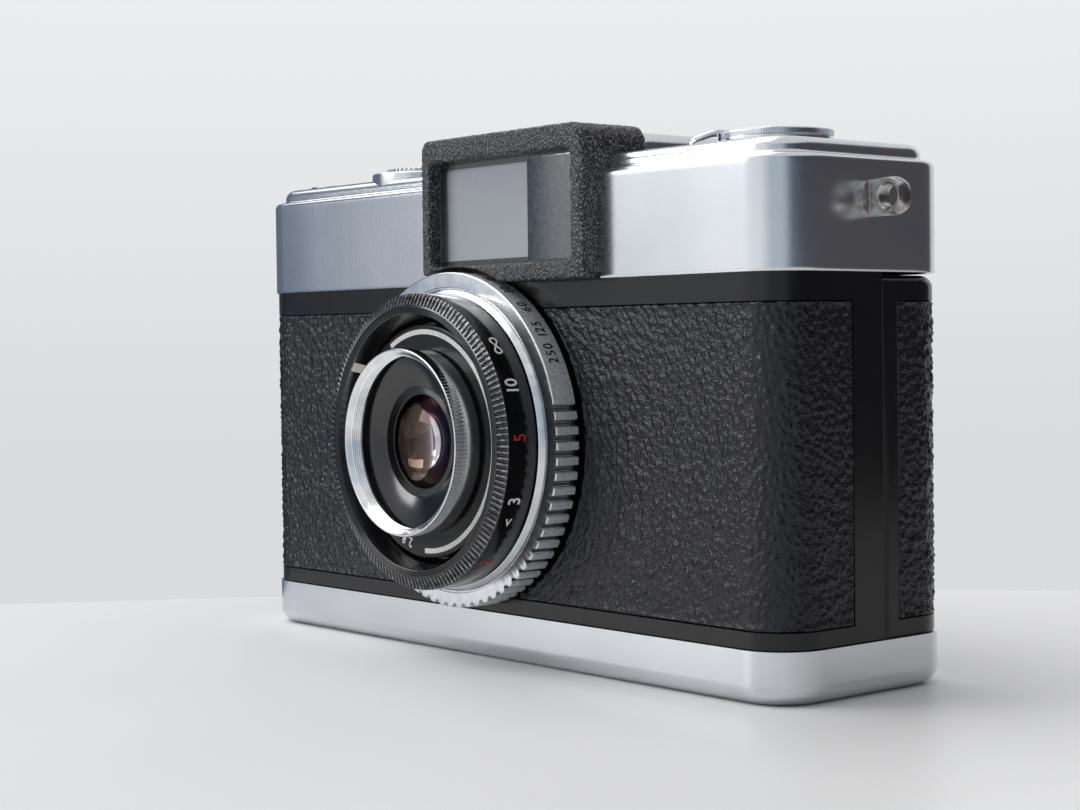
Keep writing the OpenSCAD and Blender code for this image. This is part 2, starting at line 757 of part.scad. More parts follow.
// Ridged shutter speed ring
module speed_ring() color("#c6c8ca") on_lens() difference() {
    bevel = 0.2;
    slope = 1.05;
    rotate_extrude() polygon([
        [drum_r + run, gap], [speed_r, gap], [speed_r, speed_h - bevel], [speed_r - bevel, speed_h],
        [lip_r + slope + bevel, speed_h], [lip_r + slope, speed_h - gap],
        [lip_r + slope - bevel / 2, speed_h],
        [lip_r - bevel / 2, speed_h + speed_lip], [drum_r + run, speed_h + speed_lip]]);
    for (a = [12:-ridge_step:-198]) rotate([0, 0, a]) translate([speed_r - ridge_cut, -0.45, 0])
        cube([2 * over, 0.9, speed_h + over]);
}

// Focus ring: plain band for the scale, knurled bevel, front rim and hollow
module focus_ring() color("#161618") on_lens() rotate_extrude() polygon([
    [neck_r + run, focus_back], [scale_r, focus_back], [scale_r, knurl_h], [focus_r, focus_h],
    [focus_r - focus_rim, focus_h], [plate_r + gap, plate_h - plate_t],
    [plate_r + gap, flange_h], [neck_r + run, flange_h]]);

// Depth of a blade's plane in front of the body, from the rear wall of its room
function iris_plane(j) = web_h1 + 0.1 + (iris_count - 1 - j) * blade_step;
function shutter_plane(j) = rear_h1 + 0.15 + j * blade_step;

// Front cell with the seats of two glasses and the pivot of the outermost iris blade
module front_cell() color("#1b1b1d") on_lens() {
    difference() {
        translate([0, 0, cell_h0]) cylinder(r = barrel_r, h = cell_h1 - cell_h0);
        cylinder(r = bore_r, h = filter_h);
        translate([0, 0, glass_back]) cylinder(r = glass_r, h = filter_h);
        translate([0, 0, cell_h0 - over]) cylinder(r = bore_r + 0.6, h = over + 1.8);
    }
    translate([iris_r + iris_w / 2, 0, iris_plane(0)]) cylinder(r = blade_pin_r, h = cell_h0 - iris_plane(0));
}

// Barrel between the cells, with the pivots of the other blades
module lens_barrel() color("#232326") on_lens() {
    difference() {
        translate([0, 0, rear_h1]) cylinder(r = barrel_r, h = cell_h0 - rear_h1);
        cylinder(r = bore_r, h = cell_h0 + over);
        translate([0, 0, web_h1]) cylinder(r = blade_room, h = cell_h0);
        translate([0, 0, -over]) cylinder(r = blade_room, h = web_h0 + over);
    }
    for (j = [1:iris_count - 1]) rotate([0, 0, j * 360 / iris_count])
        translate([iris_r + iris_w / 2, 0, web_h0])
            cylinder(r = blade_pin_r, h = iris_plane(j) + blade_t - web_h0);
    for (j = [1:shutter_count - 1]) rotate([0, 0, j * 360 / shutter_count])
        translate([shutter_r + shutter_w / 2, 0, shutter_plane(j)])
            cylinder(r = blade_pin_r, h = web_h0 - shutter_plane(j) + gap);
}

// Rear cell behind the shutter blades, with the pivot of the rearmost one
module rear_cell() color("#1b1b1d") on_lens() {
    difference() {
        translate([0, 0, rear_h0]) cylinder(r = barrel_r, h = rear_h1 - rear_h0);
        translate([0, 0, rear_h0 - over]) cylinder(r = bore_r, h = 3 * over - rear_h0);
        translate([0, 0, rear_h0 - over]) cylinder(r = bore_r + 0.6, h = over + 3.5);
    }
    translate([shutter_r + shutter_w / 2, 0, rear_h1 - gap])
        cylinder(r = blade_pin_r, h = shutter_plane(0) + blade_t - rear_h1 + gap);
}

// Plain black dished ring round the front glass
module name_ring() color("#141416") on_lens() rotate_extrude() polygon([
    [glass_r, cell_h1], [barrel_r, cell_h1], [barrel_r, name_h],
    [glass_r + name_in, cell_h1 + name_step]]);

// Domed disc of glass with its flat side at h0
module dome_glass(r, h0, edge) {
    sag = glass_dome - sqrt(glass_dome * glass_dome - r * r);
    intersection() {
        translate([0, 0, h0]) cylinder(r = r, h = edge + sag);
        translate([0, 0, h0 + edge + sag - glass_dome]) sphere(r = glass_dome);
    }
}

module front_glass() color("#5b4a55", 0.6) on_lens() dome_glass(glass_r, glass_back, 1);

module middle_glass() color("#5b4a55", 0.6) on_lens() dome_glass(bore_r + 0.6, cell_h0 + 0.2, 0.5);

module rear_glass() color("#5b4a55", 0.6) on_lens() dome_glass(bore_r + 0.6, rear_h0 + 0.3, 1.9);

// Chrome front ring that sets the aperture and takes a filter
module filter_ring() color("#cfd0d2") on_lens() rotate_extrude() polygon([
    [barrel_r + run, plate_h - plate_t], [skirt_r, plate_h - plate_t], [skirt_r, plate_h],
    [filter_r - 0.1, plate_h], [filter_r - 0.1, filter_h - 1.1], [filter_r, filter_h - 1],
    [filter_r, filter_h - 0.2], [filter_r - 0.2, filter_h], [thread_r, filter_h],
    [thread_r, filter_h - thread_l], [barrel_r + run, filter_h - thread_l]]);

// Black plate with the aperture numbers
module aperture_plate() color("#18181a") on_lens() ring(skirt_r, plate_r, plate_h - plate_t, plate_h);

// One of the iris blades, drawn at the smallest aperture
module iris_blade(j) color("#2b2b2e") on_lens() rotate([0, 0, j * 360 / iris_count])
    translate([0, 0, iris_plane(j)]) blade(iris_r, iris_w, iris_arc, iris_swing);

// One of the shutter blades, drawn shut
module shutter_blade(j) color("#3a3a3e") on_lens() rotate([0, 0, j * 360 / shutter_count])
    translate([0, 0, shutter_plane(j)]) blade(shutter_r, shutter_w, shutter_arc, shutter_swing);

// Release button with its cable socket
module release_button() color("#d2d3d5") translate([release_x, release_y, 0]) difference() {
    union() {
        translate([0, 0, release_low]) cylinder(r = release_r, h = release_top - release_low);
        translate([0, 0, release_low]) cylinder(r = release_r + 0.6, h = 0.8);
    }
    translate([0, 0, release_top - cable_l]) cylinder(r = cable_r, h = cable_l + over);
}

// Spring under the release button
module release_spring() color("#8d8f92") translate([release_x, release_y, seat_z + seat_t])
    coil(spring_r, spring_wire, spring_turns, release_low - seat_z - seat_t);

// Film advance wheel on its axle
module advance_wheel() color("#c4c6c9") {
    rim = 0.5;
    translate([advance_x, advance_y, 0]) rotate_extrude() polygon([
        [0, wheel_z], [advance_r - rim, wheel_z], [advance_r, wheel_z + rim],
        [advance_r, wheel_z + advance_t - rim], [advance_r - rim, wheel_z + advance_t],
        [0, wheel_z + advance_t]]);
    post(advance_x, advance_y, deck_low, wheel_z, axle_r);
}

module advance_gear() color("#b8a060") translate([advance_x, advance_y, gear_z]) gear(spool_angle);

// Gears on the spool and the sprocket, with a gap facing the advance gear's tooth
module spool_gear() color("#b8a060") translate([spool_x, spool_y, gear_z])
    gear(spool_angle + 180 + tooth_step / 2);

module sprocket_gear() color("#b8a060") translate([sprocket_x, sprocket_y, gear_z])
    gear(2 * sprocket_angle - spool_angle + 180 + tooth_step / 2);

// Take-up spool with its axle through floor and deck
module takeup_spool() color("#1e1e20") difference() {
    union() {
        post(spool_x, spool_y, floor_low, gear_z + gear_t, axle_r);
        post(spool_x, spool_y, floor_top + gap, deck_low - gap, 0.6 * spool_r);
        for (z = [floor_top + gap, deck_low - gap - 1.2]) post(spool_x, spool_y, z, z + 1.2, spool_r);
    }
    span([spool_x - 0.6, spool_y - spool_r, leather_z0 + 5],
         [spool_x + 0.6, spool_y - axle_r - 1, leather_z1 - 5]);
}

// Sprocket that counts the film's perforations
module film_sprocket() color("#a5a7aa") {
    post(sprocket_x, sprocket_y, floor_low, gear_z + gear_t, axle_r);
    post(sprocket_x, sprocket_y, floor_top + gap, deck_low - gap, 0.6 * sprocket_r);
    for (s = [-1, 1]) translate([sprocket_x, sprocket_y, lens_z + s * row_z]) {
        cylinder(r = sprocket_r, h = 2.4, center = true);
        for (i = [0:sprocket_n - 1]) rotate([0, 0, i * 360 / sprocket_n]) translate([0, -0.7, -0.6])
            cube([sprocket_r + 1, 1.4, 1.2]);
    }
}

// Knurled frame counter dial
module counter_dial() color("#d0d1d3") translate([counter_x, counter_y, 0]) {
    dial_z = plateau_z + bezel_h + gap / 2;
    translate([0, 0, ledge_z - sheet]) cylinder(r = counter_axle, h = dial_z - ledge_z + sheet);
    translate([0, 0, dial_z]) cylinder(r = counter_r, h = dial_t);
}

// Sleeve that lifts with the rewind shaft
module rewind_sleeve() color("#9a9c9f") translate([cassette_x, cassette_y, 0])
    ring(rewind_shaft_r + run, sleeve_r, deck_z, deck_z + sleeve_h);

// Rewind knob with the slot and the pin for the crank
module rewind_knob() color("#c8cacc") translate([cassette_x, cassette_y, 0]) rotate([0, 0, crank_turn]) {
    difference() {
        translate([0, 0, knob_z]) cylinder(r = rewind_r, h = rewind_t);
        span([-rewind_r - over, -crank_slot / 2, crank_z - knuckle_r - run],
             [rewind_r + over, crank_slot / 2, knob_z + rewind_t + over]);
    }
    translate([crank_pivot, 0, crank_z]) rotate([90, 0, 0])
        cylinder(r = crank_pin_r, h = crank_slot + over, center = true);
}

// Rewind shaft with the fork that takes the film cassette
module rewind_shaft() color("#9a9c9f") translate([cassette_x, cassette_y, 0]) {
    difference() {
        translate([0, 0, fork_z]) cylinder(r = rewind_shaft_r, h = knob_z - fork_z);
        translate([-rewind_r, -fork_slot / 2, fork_z - over]) cube([2 * rewind_r, fork_slot, 4 + over]);
    }
}

// Folding crank with a knuckle on the knob's pin; its tip bends down past the knob
module rewind_crank() color("#dcdddf") translate([cassette_x, cassette_y, 0]) rotate([0, 0, crank_turn])
    difference() {
        reach = rewind_r + crank_tip;
        union() {
            translate([0, 0, crank_z - crank_t / 2]) linear_extrude(crank_t) union() {
                translate([-reach + crank_w / 2, -crank_w / 2])
                    square([reach - crank_w / 2 + crank_pivot, crank_w]);
                translate([-reach + crank_w / 2, 0]) circle(crank_w / 2);
            }
            intersection() {
                translate([-reach + crank_w / 2, 0, knob_z])
                    cylinder(r = crank_w / 2, h = rewind_t - crank_t + run);
                span([-reach, -crank_w, knob_z], [-rewind_r - gap, crank_w, crank_z]);
            }
            translate([crank_pivot, 0, crank_z]) rotate([90, 0, 0])
                cylinder(r = knuckle_r, h = crank_w, center = true);
        }
        translate([crank_pivot, 0, crank_z]) rotate([90, 0, 0])
            cylinder(r = crank_pin_r + run, h = crank_w + 2 * over, center = true);
    }

// Button that frees the sprocket for rewinding, seen in the base
module rewind_button() color("#c4c6c9")
    post(sprocket_x, sprocket_y, gap, shoulder_z - button_travel - gap, button_r);

// Painted back with rounded upper edge
module back_shell() color("#1a1b1d") difference() {
    intersection() {
        rounded_slab(skin, tray_floor, shell_top, 0.8);
        behind(seam_y, 0, cover_z);
    }
    slab(skin + shell_t, 0, cover_z);
    difference() {
        slab(-over, leather_z0, leather_z1);
        slab(recess, 0, cover_z);
        front_of(seam_y + back_margin, 0, cover_z);
    }
    difference() {
        slab(-over, 0, base_h);
        slab(tray_wall, 0, base_h + over);
    }
}

// Leatherette on the back
module back_leatherette() color("#1c1c1e") difference() {
    intersection() {
        slab(leather_face, leather_z0, leather_z1);
        behind(seam_y + back_margin, 0, cover_z);
    }
    slab(recess, 0, cover_z);
}

// Satin base plate, one with the back
module base_plate() color("#c9cbce") difference() {
    translate([0, 0, base_h]) mirror([0, 0, 1]) rounded_slab(0, 0, base_h, base_fillet);
    slab(tray_wall, tray_floor, base_h + over);
    post(0, 0, -over, tray_floor + over, bush_r);
    post(sprocket_x, sprocket_y, -over, tray_floor + over, button_r + gap);
    post(key_x, key_y, -over, key_t + gap / 2, key_r + run);
    post(key_x, key_y, -over, tray_floor + over, key_shaft + run);
}

// Threaded bush of the tripod socket
module tripod_bush() color("#a8aaad") difference() {
    post(0, 0, 0, base_h - gap, bush_r);
    post(0, 0, -over, tripod_l, tripod_r);
}

// Plate that keeps the film flat
module pressure_plate() color("#2a2b2e") span(
    [sprocket_x + well_r, film_y + gap, lens_z - film_half],
    [gate_x1, film_y + gap + pressure_t, lens_z + film_half]);

// Bowed leaf spring between the back and the pressure plate
module pressure_spring() color("#9a9c9f") {
    y0 = film_y + gap + pressure_t + pressure_travel + 0.1;
    y1 = y_back - skin - shell_t;
    x0 = (sprocket_x + well_r + gate_x1) / 2;
    half = [[leaf_x - 1, y1], [leaf_x - 1 + leaf_t, y1], [leaf_x + 1 + leaf_t, y0 + leaf_t],
            [2 * leaf_x - 3, y0 + leaf_t], [2 * leaf_x - 3, y0], [leaf_x + 1, y0], [leaf_x - 1, y1 - leaf_t]];
    other = [for (i = [len(half) - 1:-1:0]) [-half[i][0], half[i][1]]];
    translate([x0, 0, lens_z - leaf_h / 2]) linear_extrude(leaf_h) polygon(concat(half, other));
}

// Key of the back lock with the finger inside the base and the pin of its wing
module lock_key() color("#b9babb") translate([key_x, key_y, 0]) {
    slot_r = wing_r + gap;
    difference() {
        union() {
            translate([0, 0, key_proud]) cylinder(r = key_r, h = key_t - key_proud);
            translate([0, 0, key_proud]) cylinder(r = key_shaft, h = finger_z + finger_t - key_proud);
            translate([0, -finger_w / 2, finger_z]) cube([key_reach, finger_w, finger_t]);
        }
        translate([0, 0, -over]) linear_extrude(over + wing_z + wing_knuckle + run) difference() {
            circle(slot_r);
            translate([-key_r, wing_knuckle + gap]) square([2 * key_r, key_r]);
        }
    }
    translate([0, 0, wing_z]) rotate([0, 90, 0]) cylinder(r = wing_pin_r, h = slot_r + key_r, center = true);
}

// Half-round wing that folds out on its pin to turn the key
module lock_wing() color("#d2d3d5") translate([key_x, key_y, wing_z]) difference() {
    union() {
        translate([0, 0, -wing_t / 2]) linear_extrude(wing_t) difference() {
            circle(wing_r);
            translate([-key_r, 0]) square([2 * key_r, key_r]);
        }
        rotate([0, 90, 0]) cylinder(r = wing_knuckle, h = 2 * wing_r - over, center = true);
    }
    rotate([0, 90, 0]) cylinder(r = wing_pin_r + run, h = 2 * key_r, center = true);
}

body_casting();
front_leatherette();
top_cover();
finder_frame();
finder_window();
finder_diffuser();
finder_chassis();
finder_objective();
beam_splitter();
frame_mirror();
eyepiece_bezel();
eyepiece_lens();
strap_lugs();
shutter_housing();
shutter_retainer();
film_rails();
release_collar();
release_post();
counter_bezel();
speed_ring();
focus_ring();
front_cell();
lens_barrel();
rear_cell();
name_ring();
front_glass();
middle_glass();
rear_glass();
filter_ring();
aperture_plate();
iris_blade(0);  // iris_blade_1
iris_blade(1);  // iris_blade_2
iris_blade(2);  // iris_blade_3
iris_blade(3);  // iris_blade_4
iris_blade(4);  // iris_blade_5
shutter_blade(0);  // shutter_blade_1
shutter_blade(1);  // shutter_blade_2
shutter_blade(2);  // shutter_blade_3
release_button();
release_spring();
advance_wheel();
advance_gear();
spool_gear();
takeup_spool();
sprocket_gear();
film_sprocket();
counter_dial();
rewind_sleeve();
rewind_knob();
rewind_shaft();
rewind_crank();
rewind_button();
back_shell();
back_leatherette();
base_plate();
tripod_bush();
pressure_plate();
pressure_spring();
lock_key();
lock_wing();
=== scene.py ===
"""Dresses a half frame camera: finishes, knurls, scales, covering and a plain studio round the CAD frame."""
import json
import math

import bmesh
import bpy
from mathutils import Matrix, Vector, noise


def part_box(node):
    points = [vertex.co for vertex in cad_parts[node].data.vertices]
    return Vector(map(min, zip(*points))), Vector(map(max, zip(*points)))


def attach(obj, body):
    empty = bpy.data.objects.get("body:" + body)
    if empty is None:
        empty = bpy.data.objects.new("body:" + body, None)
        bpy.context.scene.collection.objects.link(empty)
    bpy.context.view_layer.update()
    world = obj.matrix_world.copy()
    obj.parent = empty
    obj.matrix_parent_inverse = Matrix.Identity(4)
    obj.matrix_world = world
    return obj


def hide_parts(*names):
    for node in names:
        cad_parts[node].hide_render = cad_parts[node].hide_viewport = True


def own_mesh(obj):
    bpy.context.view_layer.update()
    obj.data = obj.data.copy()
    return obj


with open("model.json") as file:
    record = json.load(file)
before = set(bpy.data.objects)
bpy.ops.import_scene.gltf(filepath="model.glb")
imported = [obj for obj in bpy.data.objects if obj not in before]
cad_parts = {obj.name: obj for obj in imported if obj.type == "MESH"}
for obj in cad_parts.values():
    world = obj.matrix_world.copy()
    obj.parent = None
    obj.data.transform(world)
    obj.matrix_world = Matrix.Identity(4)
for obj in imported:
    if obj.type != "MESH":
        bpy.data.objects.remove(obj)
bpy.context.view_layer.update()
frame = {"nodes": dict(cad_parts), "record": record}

bl_info = {
    "name": "Half Frame Camera",
    "version": (1, 0, 0),
    "blender": (4, 5, 0),
    "location": "3D View > Sidebar > Half Frame",
    "description": "Builds the visible pieces, finishes and studio of a half frame camera",
    "category": "Object",
}

# Lengths below are millimetres, and Blender's are metres
MM = 0.001
# The warp of the grain takes its offsets from this seed, which would come from the clock if it were left unset
GRAIN_SEED = 7


class Box:
    """Box of a CAD node in millimetres, with the measures that the pieces take from it."""

    def __init__(self, node):
        low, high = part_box(node)
        self.low, self.high = low / MM, high / MM
        self.radius = (self.high.x - self.low.x) / 2
        # Frame of an upright turned piece
        self.stand = Matrix.Translation(((self.low.x + self.high.x) / 2, (self.low.y + self.high.y) / 2, 0))

    def depths(self):
        """Distances of its rear and its front from the body's face."""
        return in_front(self.high.y), in_front(self.low.y)


# Boxes that the pieces are built on, read from the frame
COVER = Box("top_cover")
BASE = Box("base_plate")
SHELL = Box("back_shell")
LEATHER = Box("front_leatherette")
BACKING = Box("back_leatherette")
FINDER = Box("finder_frame")
GLASS = Box("finder_window")
SPEED = Box("speed_ring")
FOCUS = Box("focus_ring")
PLATE = Box("aperture_plate")
FILTER = Box("filter_ring")
NAME = Box("name_ring")
FRONT = Box("front_glass")
BEZEL = Box("counter_bezel")
KNOB = Box("rewind_knob")
COUNTER = Box("counter_dial")
BUTTON = Box("release_button")
WHEEL = Box("advance_wheel")
EYE = Box("eyepiece_bezel")
LUG = Box("strap_lugs")

CENTRE = (COVER.low + COVER.high) / 2
RUNNING_GAP = 0.3
BODY_CORNER = 6.5
# Half lengths of the straight runs of the body's outline, and the length of one corner
HALF_W = (COVER.high.x - COVER.low.x) / 2 - BODY_CORNER
HALF_D = (COVER.high.y - COVER.low.y) / 2 - BODY_CORNER
ARC = BODY_CORNER * math.pi / 2
# Radius of the filter ring's sleeve, and height of the cover's ledge above its lower edge
SLEEVE = 10.6
LEDGE = 13.5
# Radii that stand for an axis, and the distance within which points are joined
AXIS = 1e-5
NEAR_AXIS = 1e-4
WELD = 1e-4
# Turn of the slot in the rewind knob and of the crank that lies in it
CRANK_TURN = Matrix.Rotation(math.radians(50), 4, "Z")
LENS_Z = (SPEED.low.z + SPEED.high.z) / 2
LENS_X = (SPEED.low.x + SPEED.high.x) / 2
FACE_Y = SPEED.high.y + RUNNING_GAP
LENS = Matrix.Translation((LENS_X, FACE_Y, LENS_Z)) @ Matrix.Rotation(math.radians(90), 4, "X")


def in_front(y):
    """Distance of a depth in front of the body's face."""
    return FACE_Y - y


def smooth_step(value):
    """Eases a value from 0 to 1."""
    value = min(max(value, 0.0), 1.0)
    return value * value * (3 - 2 * value)


def rounded(distance, radius):
    """Drop of a rounded edge at a distance from its end."""
    return radius * (1 - math.sqrt(max(0.0, 1 - (1 - min(distance / radius, 1)) ** 2)))


def eased(points, radius, closed=True, steps=3):
    """Rounds the corners of an outline with small arcs."""
    result = []
    last = len(points) - 1
    for index, point in enumerate(points):
        if not closed and index in (0, last):
            result.append(tuple(point))
            continue
        corner = Vector(point)
        back = Vector(points[index - 1]) - corner
        ahead = Vector(points[(index + 1) % len(points)]) - corner
        reach = min(radius, 0.45 * back.length, 0.45 * ahead.length)
        start = corner + back.normalized() * reach
        end = corner + ahead.normalized() * reach
        for step in range(steps + 1):
            t = step / steps
            result.append(tuple(start.lerp(corner, t).lerp(corner.lerp(end, t), t)))
    return result


def join_rings(made, rings, around=True):
    """Faces between neighbouring rings of vertices; around closes each ring."""
    for one, other in zip(rings, rings[1:]):
        count = len(one)
        for index in range(count if around else count - 1):
            after = (index + 1) % count
            made.faces.new((one[index], one[after], other[after], other[index]))


def capped(made, rings):
    """Closes rings of vertices into a solid with a face at each end."""
    join_rings(made, rings)
    made.faces.new(rings[0])
    made.faces.new(rings[-1])
    bmesh.ops.recalc_face_normals(made, faces=made.faces)
    return made


def turned(profile, steps, shape=None):
    """Turns a closed outline of radius and height round z; shape may change a radius by its angle."""
    made = bmesh.new()
    rings = []
    for step in range(steps):
        angle = math.tau * step / steps
        ring = []
        for radius, height in profile:
            reach = shape(radius, height, angle) if shape else radius
            ring.append(made.verts.new((reach * math.cos(angle), reach * math.sin(angle), height)))
        rings.append(ring)
    join_rings(made, rings + rings[:1])
    bmesh.ops.remove_doubles(made, verts=made.verts, dist=WELD)
    bmesh.ops.recalc_face_normals(made, faces=made.faces)
    return made


def knurl(teeth, depth, low, high, outer):
    """Straight ridges between two heights on the rim of the given radius."""
    def shape(radius, height, angle):
        if not low <= height <= high or radius < outer - 0.25:
            return radius
        wave = 0.5 + 0.5 * math.cos(teeth * angle)
        return radius - depth * (1 - smooth_step(1.7 * wave - 0.35))
    return shape


def plan(inset, arc_steps=10, straight=10):
    """Outline of the body seen from above, set in from its widest outline, anticlockwise from the right."""
    radius = BODY_CORNER - inset
    sides = ((1, 1), (-1, 1), (-1, -1), (1, -1))

    def on_arc(turn, share):
        sx, sy = sides[turn % 4]
        angle = math.radians(90) * (turn + share)
        return Vector((CENTRE.x + sx * HALF_W + radius * math.cos(angle), sy * HALF_D + radius * math.sin(angle)))
    points = []
    for turn in range(4):
        points += [on_arc(turn, step / arc_steps) for step in range(arc_steps + 1)]
        after, end = points[-1], on_arc(turn + 1, 0)
        points += [after.lerp(end, step / straight) for step in range(1, straight)]
    return points


def linear(hex_colour):
    """Linear colour of an sRGB hex value."""
    parts = [int(hex_colour[index:index + 2], 16) / 255 for index in (1, 3, 5)]
    return tuple(p / 12.92 if p <= 0.04045 else ((p + 0.055) / 1.055) ** 2.4 for p in parts) + (1.0,)


def per_metre(size_mm):
    """Scale of a pattern whose features have this size."""
    return 1 / (size_mm * MM)


def add_node(tree, kind, inputs=None, **settings):
    """Adds a shader node, with its settings and with values or links on its inputs."""
    made = tree.nodes.new(kind)
    for name, value in settings.items():
        setattr(made, name, value)
    for name, value in (inputs or {}).items():
        if isinstance(value, bpy.types.NodeSocket):
            tree.links.new(value, made.inputs[name])
        else:
            made.inputs[name].default_value = value
    return made


def new_material(name, **constants):
    """Material with a principled shader whose constants are set on its sockets."""
    made = bpy.data.materials.new(name)
    made.use_nodes = True
    shader = made.node_tree.nodes["Principled BSDF"]
    for key, value in constants.items():
        shader.inputs[key.replace("_", " ")].default_value = value
    return made, made.node_tree, shader


def object_point(tree):
    """Coordinates on the object, in metres."""
    return add_node(tree, "ShaderNodeTexCoord").outputs["Object"]


def mottle(tree, size, detail, **more):
    """Noise over the object with features of this size in millimetres."""
    inputs = {"Vector": object_point(tree), "Scale": per_metre(size), "Detail": detail, **more}
    return add_node(tree, "ShaderNodeTexNoise", inputs).outputs["Fac"]


def ramp(tree, share, *stops):
    """Colour that runs between two stops, each a position and a hex colour."""
    made = add_node(tree, "ShaderNodeValToRGB", {"Fac": share})
    for mark, (position, colour) in zip(made.color_ramp.elements, stops):
        mark.position = position
        mark.color = linear(colour)
    return made.outputs["Color"]


def spread(tree, value, low, high, start=0.0, end=1.0):
    """Value that runs from low to high while another runs from start to end."""
    return add_node(tree, "ShaderNodeMapRange", {"Value": value, "From Min": start, "From Max": end, "To Min": low,
                                                 "To Max": high}).outputs["Result"]


def relief(tree, height, strength, depth):
    """Normals of a relief of this depth in millimetres."""
    return add_node(tree, "ShaderNodeBump", {"Height": height, "Strength": strength,
                                             "Distance": depth * MM}).outputs["Normal"]


def drive(tree, shader, **outputs):
    """Links outputs to the shader's inputs of the same names."""
    for name, output in outputs.items():
        tree.links.new(output, shader.inputs[name.replace("_", " ")])


def satin_chrome(colours):
    """Chrome plated over blasted brass: bright, soft reflections with a fine sandy sparkle."""
    made, tree, shader = new_material("satin_chrome_plate", Metallic=1.0)
    # The blasted grain is drawn coarser than the real one, so that it shows
    grain = mottle(tree, 0.28, 2.0)
    cloud = mottle(tree, 14.0, 5.0)
    drive(tree, shader, Base_Color=ramp(tree, cloud, (0.3, colours.chrome_shade), (0.7, colours.chrome_light)),
          Roughness=spread(tree, grain, 0.16, 0.26), Normal=relief(tree, grain, 0.6, 0.012))
    return made


def bright_chrome(colours):
    """Chrome plated over turned brass: mirror bright, with faint stains."""
    made, tree, shader = new_material("bright_chrome_plate", Metallic=1.0)
    stain = mottle(tree, 2.5, 6.0)
    drive(tree, shader, Base_Color=ramp(tree, stain, (0.32, colours.chrome_shade), (0.6, colours.bright_chrome)),
          Roughness=spread(tree, stain, 0.2, 0.1))
    return made


def stove_enamel(colours):
    """Black stove enamel on a die casting: satin gloss with a slight orange peel."""
    made, tree, shader = new_material("black_stove_enamel", IOR=1.42)
    peel = mottle(tree, 0.6, 2.0)
    dust = mottle(tree, 3.0, 5.0)
    drive(tree, shader, Base_Color=ramp(tree, dust, (0.0, colours.enamel), (1.0, colours.enamel_dust)),
          Roughness=spread(tree, dust, 0.13, 0.24), Normal=relief(tree, peel, 0.2, 0.02))
    return made


def wrinkle_paint(colours):
    """Black wrinkle paint baked on metal: a dull skin of fine folds, with painted glints as bright specks of a lighter
    colour on their crests.
    """
    made, tree, shader = new_material("black_wrinkle_paint", IOR=1.5)
    fold = mottle(tree, 0.3, 3.0, Distortion=0.6)
    glint_speck = mottle(tree, 0.26, 1.0)
    height = add_node(tree, "ShaderNodeMath", {0: fold, 1: glint_speck}, operation="ADD").outputs["Value"]
    # The lighter colour of the specks is a painted glint, a painted highlight on the crests
    drive(tree, shader, Base_Color=ramp(tree, glint_speck, (0.5, colours.wrinkle), (0.68, colours.wrinkle_glint)),
          Roughness=spread(tree, glint_speck, 0.45, 0.2, 0.4, 0.7), Normal=relief(tree, height, 1.0, 0.16))
    return made


def leatherette(colours):
    """Black embossed vinyl on cloth: a pebbled skin whose crests sparkle, with painted glints as lighter spots on the
    crests, and whose creases stay dull.
    """
    made, tree, shader = new_material("black_embossed_leatherette", IOR=1.43)
    pore_and_glint = mottle(tree, 0.33, 2.0)
    # The lighter colour on the raised spots is a painted glint, a painted highlight; the bump and the roughness are
    # real
    drive(tree, shader, Base_Color=ramp(tree, pore_and_glint, (0.45, colours.leather), (0.75, colours.leather_glint)),
          Roughness=spread(tree, pore_and_glint, 0.34, 0.1, 0.35, 0.65), Normal=relief(tree, pore_and_glint, 1.0, 0.14))
    return made


def black_anodised(colours):
    """Turned aluminium, dyed black: glossy, with faint clouds where it is handled."""
    made, tree, shader = new_material("black_anodised_aluminium", IOR=1.5)
    cloud = mottle(tree, 1.2, 4.0)
    drive(tree, shader, Base_Color=ramp(tree, cloud, (0.0, colours.anodised), (1.0, colours.anodised_worn)),
          Roughness=spread(tree, cloud, 0.08, 0.18))
    return made


def mottled(name, dark, light, size, rough_low, rough_high, **constants):
    """Finish whose tone and roughness drift a little, for steel, brass, plastic and paint."""
    made, tree, shader = new_material(name, **constants)
    drift = mottle(tree, size, 4.0)
    drive(tree, shader, Base_Color=ramp(tree, drift, (0.3, dark), (0.7, light)),
          Roughness=spread(tree, drift, rough_low, rough_high))
    return made


def clear_glass(colours):
    """Float glass with specks of dust on its face."""
    made, tree, shader = new_material("clear_float_glass", IOR=1.5, Transmission_Weight=1.0,
                                      Base_Color=linear(colours.glass))
    drive(tree, shader, Roughness=spread(tree, mottle(tree, 0.5, 6.0), 0.02, 0.4, 0.6, 0.8))
    return made


def coated_glass(colours):
    """Lens glass with an antireflection coating, which tints its reflections amber and purple."""
    made, tree, shader = new_material("coated_lens_glass", IOR=1.7, Transmission_Weight=1.0, Roughness=0.02,
                                      Thin_Film_Thickness=colours.coating, Thin_Film_IOR=1.38)
    drive(tree, shader, Base_Color=ramp(tree, mottle(tree, 0.8, 4.0), (0.0, colours.lens_tint),
                                        (1.0, colours.lens_tint_light)))
    return made


def frosted_glass(colours):
    """Ground glass: an even pale grey with a matt tooth."""
    made, tree, shader = new_material("ground_glass", IOR=1.9)
    tooth = mottle(tree, 0.3, 3.0)
    drive(tree, shader, Base_Color=ramp(tree, tooth, (0.0, colours.frost_shade), (1.0, colours.frost)),
          Roughness=spread(tree, tooth, 0.36, 0.5))
    return made


def as_mesh(name, made):
    """Mesh of what was modelled, which is freed."""
    mesh = bpy.data.meshes.new(name)
    made.to_mesh(mesh)
    made.free()
    return mesh


def shade(mesh, sharp):
    """Smooth shading with hard edges above an angle in degrees."""
    mesh.polygons.foreach_set("use_smooth", [True] * len(mesh.polygons))
    mesh.set_sharp_from_angle(angle=math.radians(sharp))


